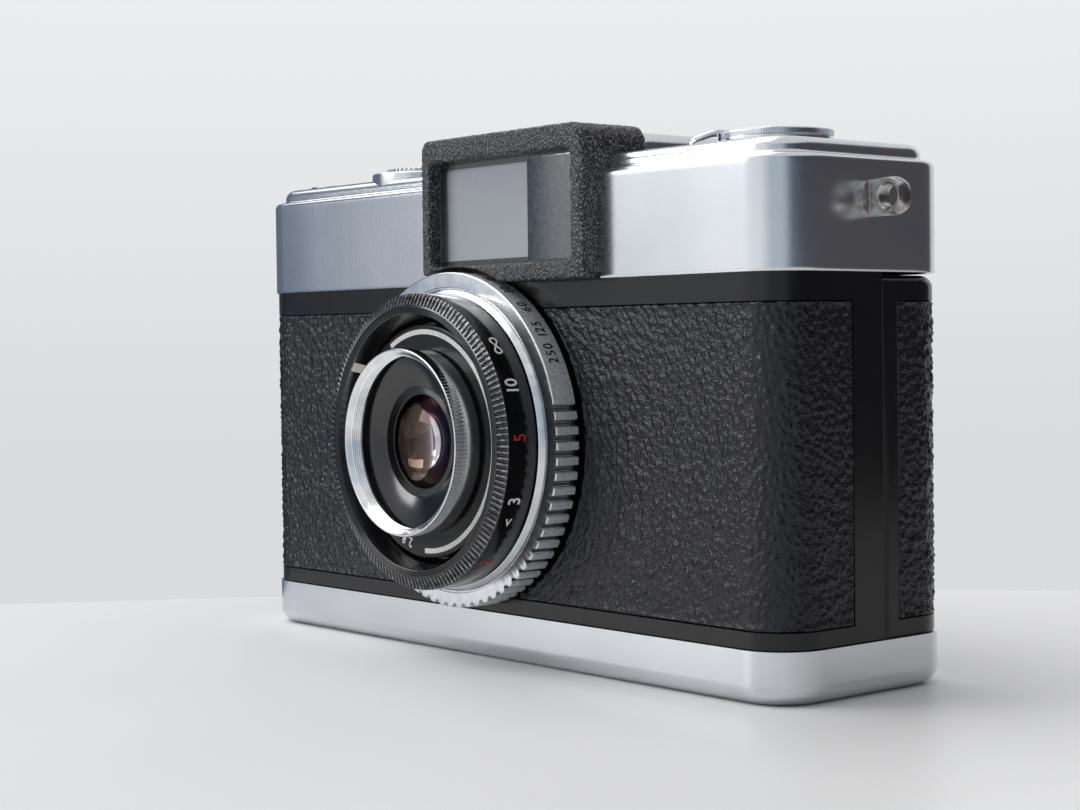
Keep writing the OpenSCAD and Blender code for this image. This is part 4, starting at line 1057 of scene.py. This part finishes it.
def rear_door():
    """Painted back: a rounded bead along its edges, a sunk panel for the covering and a tongue in the base."""
    half_way = 2 * HALF_D + 2 * HALF_W + 2 * ARC
    start, end = half_way + SHELL.low.y, 2 * half_way - SHELL.low.y
    margin = BACKING.low.y - SHELL.low.y
    z0, z1 = BASE.high.z, SHELL.high.z
    panel0, panel1 = BACKING.low.z, BACKING.high.z
    skin, sunk, inside, bead, tongue = -0.3, -0.7, -1.5, 1.4, -1.25

    def fine(low, high, first, last, coarse):
        marks = {low, high}
        for step in range(9):
            rise = bead * (1 - math.cos(math.radians(11.25 * step)))
            marks.update((low + rise, high - rise))
        for edge in (first, last):
            marks.update((edge - 0.12, edge, edge + 0.1, edge - 0.1))
        count = round((last - first) / coarse)
        marks.update(first + 0.1 + (last - first - 0.2) * step / count for step in range(1, count))
        return sorted(marks)

    made = bmesh.new()
    outer, inner = [], []
    for z in [SHELL.low.z, z0 - 0.02] + fine(z0, z1, panel0, panel1, 6.0):
        front_row, back_row = [], []
        for along in fine(start, end, start + margin, end - margin, 1.0):
            point, normal = round_body(along)
            edge = min(along - start, end - along)
            if z < z0:
                reach = tongue - rounded(edge, 0.2)
            elif panel0 < z < panel1 and edge > margin:
                reach = sunk
            else:
                reach = skin - max(rounded(edge, 1.0), rounded(z1 - z, bead), rounded(z - z0, 0.35))
            for row, out in ((front_row, reach), (back_row, inside)):
                row.append(made.verts.new((point.x + normal.x * out, point.y + normal.y * out, z)))
        outer.append(front_row)
        inner.append(back_row)
    sides = [outer, inner, [outer[0], inner[0]], [outer[-1], inner[-1]]]
    sides += [[[row[end] for row in outer], [row[end] for row in inner]] for end in (0, -1)]
    for rows in sides:
        join_rings(made, rows, around=False)
    bmesh.ops.recalc_face_normals(made, faces=made.faces)
    put("rear_door", made, "stove_enamel", "back", ["back_shell"], sharp=40)


def ribbon(path, thick, ease=0.12):
    """Strip along a path of length, height and half width, with eased edges; the path runs along x."""
    made = bmesh.new()
    rings = []
    for index, (x, z, half) in enumerate(path):
        before, after = path[max(index - 1, 0)], path[min(index + 1, len(path) - 1)]
        ahead = Vector((after[0] - before[0], 0, after[1] - before[1])).normalized()
        up = Vector((-ahead.z, 0, ahead.x))
        if up.z < 0:
            up = -up
        section = ((half, -thick + ease), (half, -ease), (half - ease, 0), (-half + ease, 0), (-half, -ease),
                   (-half, -thick + ease), (-half + ease, -thick), (half - ease, -thick))
        rings.append([made.verts.new(Vector((x, y, z)) + up * h) for y, h in section])
    return capped(made, rings)


def crank_handle():
    """Folding crank in the knob's slot: a thin strip with a rolled knuckle, whose end arches down for the thumb."""
    radius = KNOB.radius
    z0, z1 = KNOB.low.z, KNOB.high.z
    half, thick = 2.0, 0.5
    pivot, knuckle, pin_z = radius - 1.4, 0.75, z1 - 0.45
    tip, out, steps = -radius + 1.5, 4.9, 16
    path = [(pivot - 0.3, z1, half), (pivot - 2, z1, half), (0.0, z1, half), (tip, z1 + 0.02, half)]
    for step in range(1, steps + 1):
        t = step / steps
        drop = (z1 - z0 - 0.05) * (1 - math.sqrt(max(0.0, 1 - (0.98 * t) ** 2.6)))
        side = half * math.sqrt(max(0.05, 1 - (max(0.0, t - 0.4) / 0.62) ** 2))
        path.append((tip - out * t, z1 + 0.22 * math.sin(math.pi * min(1.0, 1.6 * t)) - drop, side))
    roll = turned(eased([(0.4, -half), (knuckle, -half), (knuckle, half), (0.4, half)], 0.1), 40)
    roll.transform(Matrix.Translation((pivot, 0, pin_z)) @ Matrix.Rotation(math.radians(90), 4, "X"))
    put("crank_handle", cut(ribbon(path, thick), [roll], "UNION"), "bright_chrome", "rewind_crank",
        ["rewind_crank"], KNOB.stand @ CRANK_TURN)


def release_coil():
    """Wire spring under the release button."""
    spring = Box("release_spring")
    low, high = spring.low, spring.high
    wire, turns, around, sides = 0.2, 5, 24, 8
    reach = spring.radius - wire
    made = bmesh.new()
    rings = []
    for step in range(turns * around + 1):
        angle = math.tau * step / around
        rise = low.z + wire + (high.z - low.z - 2 * wire) * step / (turns * around)
        ring = []
        for side in range(sides):
            turn = math.tau * side / sides
            radius = reach + wire * math.cos(turn)
            ring.append(made.verts.new((radius * math.cos(angle), radius * math.sin(angle),
                                        rise + wire * math.sin(turn))))
        rings.append(ring)
    coil = put("release_coil", capped(made, rings), "steel", "camera_body", ["release_spring"], spring.stand)
    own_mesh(coil)


# Finishes by name, filled when they are made
FINISHES = {}

# Finish of each of the record's material slots
SLOT_FINISH = {
    "black_painted_casting": "stove_enamel",
    "leatherette": "leatherette",
    "satin_chrome": "satin_chrome",
    "polished_chrome": "bright_chrome",
    "wrinkle_paint": "wrinkle_paint",
    "black_anodised": "anodised",
    "finder_glass": "clear_glass",
    "frosted_glass": "frosted_glass",
    "coated_glass": "coated_glass",
    "mirror_glass": "mirror",
    "steel": "steel",
    "blackened_steel": "blackened_steel",
    "brass": "brass",
    "black_plastic": "black_plastic",
}


def make_finishes():
    """Makes every finish and gives the CAD nodes theirs."""
    colours = bpy.context.scene.camera_finish
    FINISHES.update({
        "satin_chrome": satin_chrome(colours),
        "bright_chrome": bright_chrome(colours),
        "stove_enamel": stove_enamel(colours),
        "wrinkle_paint": wrinkle_paint(colours),
        "leatherette": leatherette(colours),
        "anodised": black_anodised(colours),
        "clear_glass": clear_glass(colours),
        "coated_glass": coated_glass(colours),
        "frosted_glass": frosted_glass(colours),
        # Dull number plate, darker than the glossy ring round it
        "plate_black": mottled("matt_black_anodised_aluminium", "#08080a", "#0e0e10", 1.0, 0.14, 0.24, IOR=1.36),
        # Black anodising with a light bare-metal colour painted on the crests of the grip, a painted highlight
        "painted_crest_glint": mottled("anodised_aluminium_with_painted_glint", "#1c1c1f", "#9a9b9f", 0.7, 0.2, 0.32, Metallic=0.8),
        # Chrome worn through where a strap ring rubs, with a brown stain
        "worn_chrome": mottled("worn_chrome_plate", "#8b7c6c", "#c9cbce", 1.1, 0.34, 0.2, Metallic=1.0),
        # Chrome over finely turned brass, soft and a little blue
        "satin_ring": mottled("fine_turned_chrome_plate", "#c9ccd0", "#dfe1e3", 1.6, 0.14, 0.22, Metallic=1.0),
        # Chrome over a blasted rim, dull, with a fine speckle, and a light matt grey that is a painted sheen on the
        # speed ring's ridges and on one flank of the filter ridges
        "blasted_chrome_and_painted_sheen": mottled("blasted_chrome_plate_and_painted_sheen", "#bcc2c6", "#eef0f2", 0.35, 0.3, 0.44, Metallic=0.45),
        # Glass with a thin silver film, with dust on it; its dark tone is painted shade of the finder's inside behind
        # it
        "half_silver_painted_shade": mottled("half_silvered_glass_painted_shade", "#2c2f34", "#454950", 0.7, 0.02, 0.3, IOR=2.1,
                               Transmission_Weight=0.2),
        # Silvered glass, bright and a little cool
        "mirror": mottled("silvered_glass", "#d9dde0", "#eceff1", 4.0, 0.02, 0.05, Metallic=1.0),
        # Turned steel with a dull grey drift
        "steel": mottled("turned_steel", "#8d8f93", "#b4b6ba", 0.8, 0.25, 0.4, Metallic=1.0),
        # Sheet steel blackened in oil, with a grey bloom
        "blackened_steel": mottled("oil_blackened_steel", "#1d1d20", "#323338", 0.9, 0.35, 0.55, Metallic=0.6),
        # Cut brass gears with a warm tarnish
        "brass": mottled("cut_brass", "#9b7a3c", "#c9a75c", 0.9, 0.22, 0.4, Metallic=1.0),
        # Moulded black plastic with a light bloom
        "black_plastic": mottled("moulded_black_plastic", "#121214", "#1f1f22", 1.4, 0.35, 0.5, IOR=1.5),
        # Paint wiped into the engraved figures
        "white_fill": mottled("white_engraving_paint", "#d5d6d4", "#f2f2ef", 0.4, 0.5, 0.7, IOR=1.5),
        "ivory_fill": mottled("ivory_engraving_paint", "#d8d2b8", "#efe9cf", 0.4, 0.5, 0.7, IOR=1.5),
        "red_fill": mottled("red_engraving_paint", "#8e1a16", "#b9281f", 0.4, 0.45, 0.65, IOR=1.5),
        "black_fill": mottled("black_engraving_paint", "#0c0c0d", "#1a1a1b", 0.4, 0.5, 0.7, IOR=1.5),
    })
    slots = {part["node"]: part["material_slot"] for part in frame["record"]["subparts"]}
    for name, node in frame["nodes"].items():
        material = FINISHES[SLOT_FINISH[slots[name]]]
        if not node.material_slots:
            node.data.materials.append(material)
        for used in node.material_slots:
            used.material = material
    # Window glass lets the light through to what lies behind it
    for name in ("finder_window", "front_glass", "rear_glass"):
        frame["nodes"][name].visible_shadow = False


def length_prop(name, description, millimetres):
    """Property that holds a small length."""
    return bpy.props.FloatProperty(name=name, description=description, default=millimetres * MM, unit="LENGTH",
                                   precision=5)


def angle_prop(name, description, degrees):
    """Property that holds an angle."""
    return bpy.props.FloatProperty(name=name, description=description, default=math.radians(degrees),
                                   subtype="ANGLE")


def count_prop(name, description, count):
    """Property that holds a number of teeth."""
    return bpy.props.IntProperty(name=name, description=description, default=count)


def number_prop(name, description, value, **more):
    """Property that holds a plain number."""
    return bpy.props.FloatProperty(name=name, description=description, default=value, **more)


def tint(name, description, default):
    """Text property that holds a colour as an sRGB hex value."""
    return bpy.props.StringProperty(name=name, description=description + ", as an sRGB hex value", default=default)


class CameraForm(bpy.types.PropertyGroup):
    """Sizes and counts of the visible detail."""
    pebble: length_prop("Pebble", "Width of the covering's pebbles", 0.95)
    pebble_depth: length_prop("Pebble Depth", "Depth of the creases between pebbles", 0.32)
    grain_step: length_prop("Grain Step", "Spacing of the points of the grained covering", 0.28)
    wrinkle_step: length_prop("Wrinkle Step", "Spacing of the points of the finder's skin", 0.26)
    ridge_pitch: angle_prop("Ridge Pitch", "Angle between the speed ring's ridges", 5)
    grip_teeth: count_prop("Grip Teeth", "Teeth round the focusing grip", 156)
    filter_teeth: count_prop("Filter Teeth", "Ridges round the filter rim", 150)
    knob_teeth: count_prop("Knob Teeth", "Ridges round the rewind knob", 130)
    counter_teeth: count_prop("Counter Teeth", "Ridges round the counter dial", 44)
    wheel_teeth: count_prop("Wheel Teeth", "Ridges round the advance wheel", 60)


class CameraFinish(bpy.types.PropertyGroup):
    """Colours of the finishes."""
    chrome_light: tint("Chrome", "Satin chrome where it is clean", "#d6d8db")
    chrome_shade: tint("Chrome Shade", "Chrome where it is dulled", "#cccfd2")
    bright_chrome: tint("Bright Chrome", "Polished chrome where it is clean", "#e2e2e3")
    enamel: tint("Enamel", "Black stove enamel", "#0a0a0b")
    enamel_dust: tint("Enamel Dust", "Dusty stove enamel", "#131315")
    wrinkle: tint("Wrinkle Paint", "Wrinkle paint in its folds", "#0d0d0f")
    # Colour of the painted glints on the crests of the wrinkle paint
    wrinkle_glint: tint("Wrinkle Crest", "Wrinkle paint on its crests", "#84848b")
    leather: tint("Covering", "Covering in its creases", "#09090d")
    # Colour of the painted glints on the covering's pebbles
    leather_glint: tint("Covering Crest", "Covering on its pebbles", "#1c1c26")
    anodised: tint("Anodised Black", "Black anodised metal", "#080809")
    anodised_worn: tint("Anodised Worn", "Black anodised metal where it is rubbed", "#101012")
    glass: tint("Window Glass", "Glass of the finder", "#f4f7f9")
    lens_tint: tint("Lens Glass", "Glass of the lens", "#c9c0bc")
    lens_tint_light: tint("Lens Glass Light", "Glass of the lens in its clear parts", "#d6d0d8")
    frost: tint("Ground Glass", "Ground glass in the light", "#f2f4f8")
    frost_shade: tint("Ground Glass Shade", "Ground glass in its pits", "#e4e8ee")
    table: tint("Table", "Table top", "#f0f0f1")
    card_left: tint("Left Card", "Card that the left of the cover reflects", "#606b7d")
    card_fade: tint("Fade Card", "Card between the left and the bright ones", "#a4aebd")
    card_front: tint("Front Card", "Bright card that the front reflects", "#f3f5f9")
    card_camera: tint("Camera Card", "Grey card round the camera", "#bcc8d2")
    card_side: tint("Side Card", "Card that the corner reflects", "#57626f")
    card_room: tint("Room Card", "Dark card at the right", "#40454f")
    card_right: tint("Right Card", "Dark card that the right end reflects", "#4b4a4f")
    backdrop_low: tint("Backdrop Low", "Backdrop at the table's edge", "#dadbdd")
    backdrop_high: tint("Backdrop High", "Backdrop at the top", "#ecedef")
    coating: number_prop("Coating", "Thickness of the lens coating in nanometres", 105.0)


class CameraStudio(bpy.types.PropertyGroup):
    """Camera and light."""
    place: bpy.props.FloatVectorProperty(name="Camera Place", description="Place of the camera",
                                         default=(0.21245, -0.18152, 0.0423), subtype="TRANSLATION", unit="LENGTH")
    azimuth: angle_prop("Azimuth", "Turn of the camera round the object", 50.05)
    elevation: angle_prop("Elevation", "Angle at which the camera looks down", 1.85)
    roll: angle_prop("Roll", "Tilt of the camera", -0.73)
    focal: number_prop("Focal Length", "Focal length in millimetres on a 36 mm frame", 67.55)
    key: number_prop("Key Light", "Power of the lamp in front", 1.4, unit="POWER")
    top: number_prop("Top Light", "Power of the large lamp above", 5.0, unit="POWER")
    ambient: number_prop("Ambient", "Strength of the light from all round", 0.45)


def lamp(name, direction, width, height, power, distance=0.8):
    """Large soft lamp that faces the object."""
    light = bpy.data.lights.new(name, "AREA")
    light.shape = "RECTANGLE"
    light.size = width
    light.size_y = height
    light.energy = power
    made = linked(name, light)
    way = Vector(direction).normalized()
    middle = Vector((0, 0, 0.035))
    made.matrix_world = Matrix.Translation(way * distance + middle) @ way.to_track_quat("Z", "Y").to_matrix().to_4x4()
    made.visible_camera = False


def surround(stops, strength=1.1, low=-0.5, high=0.9, distance=1.1):
    """Tinted card round the set, out of view, which only the bright metal and the gloss reflect."""
    made = bmesh.new()
    start, end = stops[0][0], stops[-1][0]
    turns = [math.radians(start + (end - start) * step / 96) for step in range(97)]
    join_rings(made, [[made.verts.new((distance * math.sin(turn), -distance * math.cos(turn), z)) for turn in turns]
                      for z in (low, high)], around=False)
    card = linked("surround", as_mesh("surround", made))
    card.visible_camera = False
    card.visible_shadow = False
    card.visible_diffuse = False
    card.visible_transmission = False
    glow, tree, shader = new_material("surround_card", Base_Color=(0, 0, 0, 1), Roughness=1.0, Specular_IOR_Level=0.0,
                                      Emission_Strength=strength)
    place = add_node(tree, "ShaderNodeSeparateXYZ", {"Vector": object_point(tree)}).outputs
    ahead = add_node(tree, "ShaderNodeMath", {0: place["Y"], 1: -1.0}, operation="MULTIPLY").outputs["Value"]
    turn = add_node(tree, "ShaderNodeMath", {0: place["X"], 1: ahead}, operation="ARCTAN2").outputs["Value"]
    share = spread(tree, turn, 0.0, 1.0, math.radians(start), math.radians(end))
    tone = add_node(tree, "ShaderNodeValToRGB", {"Fac": share})
    marks = tone.color_ramp.elements
    for azimuth, colour in stops[1:-1]:
        marks.new((azimuth - start) / (end - start)).color = linear(colour)
    marks[0].color, marks[-1].color = linear(stops[0][1]), linear(stops[-1][1])
    drive(tree, shader, Emission_Color=tone.outputs["Color"])
    card.data.materials.append(glow)


def place_camera(scene, studio):
    """Camera of the photo; gives the direction from the object to the camera."""
    camera = bpy.data.cameras.new("camera")
    camera.lens = studio.focal
    camera.sensor_width = 36
    camera.sensor_fit = "HORIZONTAL"
    camera.clip_start = 0.01
    scene.camera = linked("camera", camera)
    turn, lift, tilt = studio.azimuth, studio.elevation, studio.roll
    back = Vector((math.sin(turn) * math.cos(lift), -math.cos(turn) * math.cos(lift), math.sin(lift)))
    right = Vector((math.cos(turn), math.sin(turn), 0))
    up = back.cross(right)
    axes = (right * math.cos(tilt) + up * math.sin(tilt), -right * math.sin(tilt) + up * math.cos(tilt), back)
    scene.camera.matrix_world = Matrix.Translation(studio.place) @ Matrix(axes).transposed().to_4x4()
    return back


def lay_table(studio, finish, back):
    """Painted table top with a rounded far edge, smooth and pale."""
    radius, edge, depth = 0.5, 0.343, 0.03
    ahead = Vector((-back.x, -back.y, 0)).normalized()
    centre = Vector((studio.place[0], studio.place[1], 0)) + ahead * (edge - radius)
    made = turned([(AXIS, 0), (radius - 0.004, 0), (radius - 0.001, -0.001), (radius, -0.004), (radius, -depth),
                   (AXIS, -depth)], 256)
    made.transform(Matrix.Translation(centre))
    mesh = as_mesh("table", made)
    shade(mesh, 30)
    table = linked("table", mesh)
    mesh.materials.append(mottled("painted_table_top", finish.table, finish.table, 40.0, 0.4, 0.5, IOR=1.45))


def light_world(scene, studio, finish):
    """Plain backdrop, paler towards the top, and even light from all round."""
    scene.world = bpy.data.worlds.new("studio")
    scene.world.use_nodes = True
    tree = scene.world.node_tree
    tree.nodes.clear()
    direction = add_node(tree, "ShaderNodeTexCoord").outputs["Generated"]
    height = add_node(tree, "ShaderNodeSeparateXYZ", {"Vector": direction}).outputs["Z"]
    tone = ramp(tree, spread(tree, height, 0.0, 1.0, -0.05, 0.16), (0.0, finish.backdrop_low),
                (1.0, finish.backdrop_high))
    seen = add_node(tree, "ShaderNodeBackground", {"Color": tone, "Strength": 1.0})
    even = add_node(tree, "ShaderNodeBackground", {"Color": linear("#f6f6f6"), "Strength": studio.ambient})
    path = add_node(tree, "ShaderNodeLightPath").outputs
    shown = path["Is Camera Ray"]
    for ray in ("Is Glossy Ray", "Is Transmission Ray"):
        shown = add_node(tree, "ShaderNodeMath", {0: shown, 1: path[ray]}, operation="MAXIMUM").outputs["Value"]
    mix = add_node(tree, "ShaderNodeMixShader", {"Fac": shown, 1: even.outputs["Background"],
                                                 2: seen.outputs["Background"]})
    add_node(tree, "ShaderNodeOutputWorld", {"Surface": mix.outputs["Shader"]})


def build_studio():
    """Camera, table, lamps, the card that the metal reflects, and the backdrop."""
    scene = bpy.context.scene
    studio, finish = scene.camera_studio, scene.camera_finish
    lay_table(studio, finish, place_camera(scene, studio))
    lamp("key_lamp", (-0.557, -0.767, 0.319), 0.4, 0.14, studio.key)
    lamp("top_lamp", (-0.5, -0.25, 1.0), 0.9, 0.8, studio.top)
    surround([(-125, finish.card_left), (-59, finish.card_left), (-55, finish.card_fade), (-46, finish.card_front),
              (12, finish.card_front), (31, finish.card_camera), (56, finish.card_camera), (74, finish.card_side),
              (98, finish.card_room), (125, finish.card_right), (172, finish.card_right)])
    light_world(scene, studio, finish)
    scene.view_settings.view_transform = "Standard"


class BuildStep:
    """Runs the functions of one step."""
    def execute(self, context):
        for build in self.builders:
            build()
        return {"FINISHED"}


class FinishesOperator(BuildStep, bpy.types.Operator):
    """Make the finishes and give the CAD nodes theirs"""
    bl_idname = "half_frame.finishes"
    bl_label = "Finishes"
    builders = (make_finishes,)


class CoveringOperator(BuildStep, bpy.types.Operator):
    """Lay the grained covering round the body and build the painted back"""
    bl_idname = "half_frame.covering"
    bl_label = "Covering"
    builders = (body_covering, rear_door)


class CoverOperator(BuildStep, bpy.types.Operator):
    """Build the chrome top cover and the roof of the finder"""
    bl_idname = "half_frame.cover"
    bl_label = "Top Cover"
    builders = (upper_cover, finder_hump)


class FinderOperator(BuildStep, bpy.types.Operator):
    """Build the finder's surround and its half-silvered pane"""
    bl_idname = "half_frame.finder"
    bl_label = "Finder"
    builders = (finder_surround, objective_pane)


class LensOperator(BuildStep, bpy.types.Operator):
    """Build the rings, the plate and the front glass of the lens"""
    bl_idname = "half_frame.lens"
    bl_label = "Lens"
    builders = (speed_dial, distance_ring, number_plate, filter_mount, inner_bezel, front_lens)


class ScalesOperator(BuildStep, bpy.types.Operator):
    """Engrave the scales of the lens"""
    bl_idname = "half_frame.scales"
    bl_label = "Scales"
    builders = (lens_scales,)


class ControlsOperator(BuildStep, bpy.types.Operator):
    """Build the rewind knob with its crank, the counter, release button, advance wheel and strap lugs"""
    bl_idname = "half_frame.controls"
    bl_label = "Controls"
    builders = (rewind_disc, crank_handle, counter_surround, frame_counter, release_cap, release_coil, advance_disc,
                strap_eyes)


class StudioOperator(BuildStep, bpy.types.Operator):
    """Set up the camera, the table, the backdrop and the light"""
    bl_idname = "half_frame.studio"
    bl_label = "Studio"
    builders = (build_studio,)


STEPS = (FinishesOperator, CoveringOperator, CoverOperator, FinderOperator, LensOperator, ScalesOperator,
         ControlsOperator, StudioOperator)


class HalfFramePanel(bpy.types.Panel):
    """Lists the steps that dress the camera and the values they use"""
    bl_idname = "VIEW3D_PT_half_frame"
    bl_label = "Half Frame Camera"
    bl_space_type = "VIEW_3D"
    bl_region_type = "UI"
    bl_category = "Half Frame"

    def draw(self, context):
        layout = self.layout
        for step in STEPS:
            layout.operator(step.bl_idname)
        for group in (context.scene.camera_form, context.scene.camera_finish, context.scene.camera_studio):
            box = layout.box()
            for name in group.__annotations__:
                box.prop(group, name)


CLASSES = (CameraForm, CameraFinish, CameraStudio) + STEPS + (HalfFramePanel,)


def register():
    for made in CLASSES:
        bpy.utils.register_class(made)
    bpy.types.Scene.camera_form = bpy.props.PointerProperty(type=CameraForm)
    bpy.types.Scene.camera_finish = bpy.props.PointerProperty(type=CameraFinish)
    bpy.types.Scene.camera_studio = bpy.props.PointerProperty(type=CameraStudio)


def unregister():
    del bpy.types.Scene.camera_studio
    del bpy.types.Scene.camera_finish
    del bpy.types.Scene.camera_form
    for made in reversed(CLASSES):
        bpy.utils.unregister_class(made)


def main():
    """Registers the add-on and runs its steps in order."""
    register()
    bpy.ops.half_frame.finishes()
    bpy.ops.half_frame.covering()
    bpy.ops.half_frame.cover()
    bpy.ops.half_frame.finder()
    bpy.ops.half_frame.lens()
    bpy.ops.half_frame.scales()
    bpy.ops.half_frame.controls()
    bpy.ops.half_frame.studio()


if __name__ == "__main__":
    main()
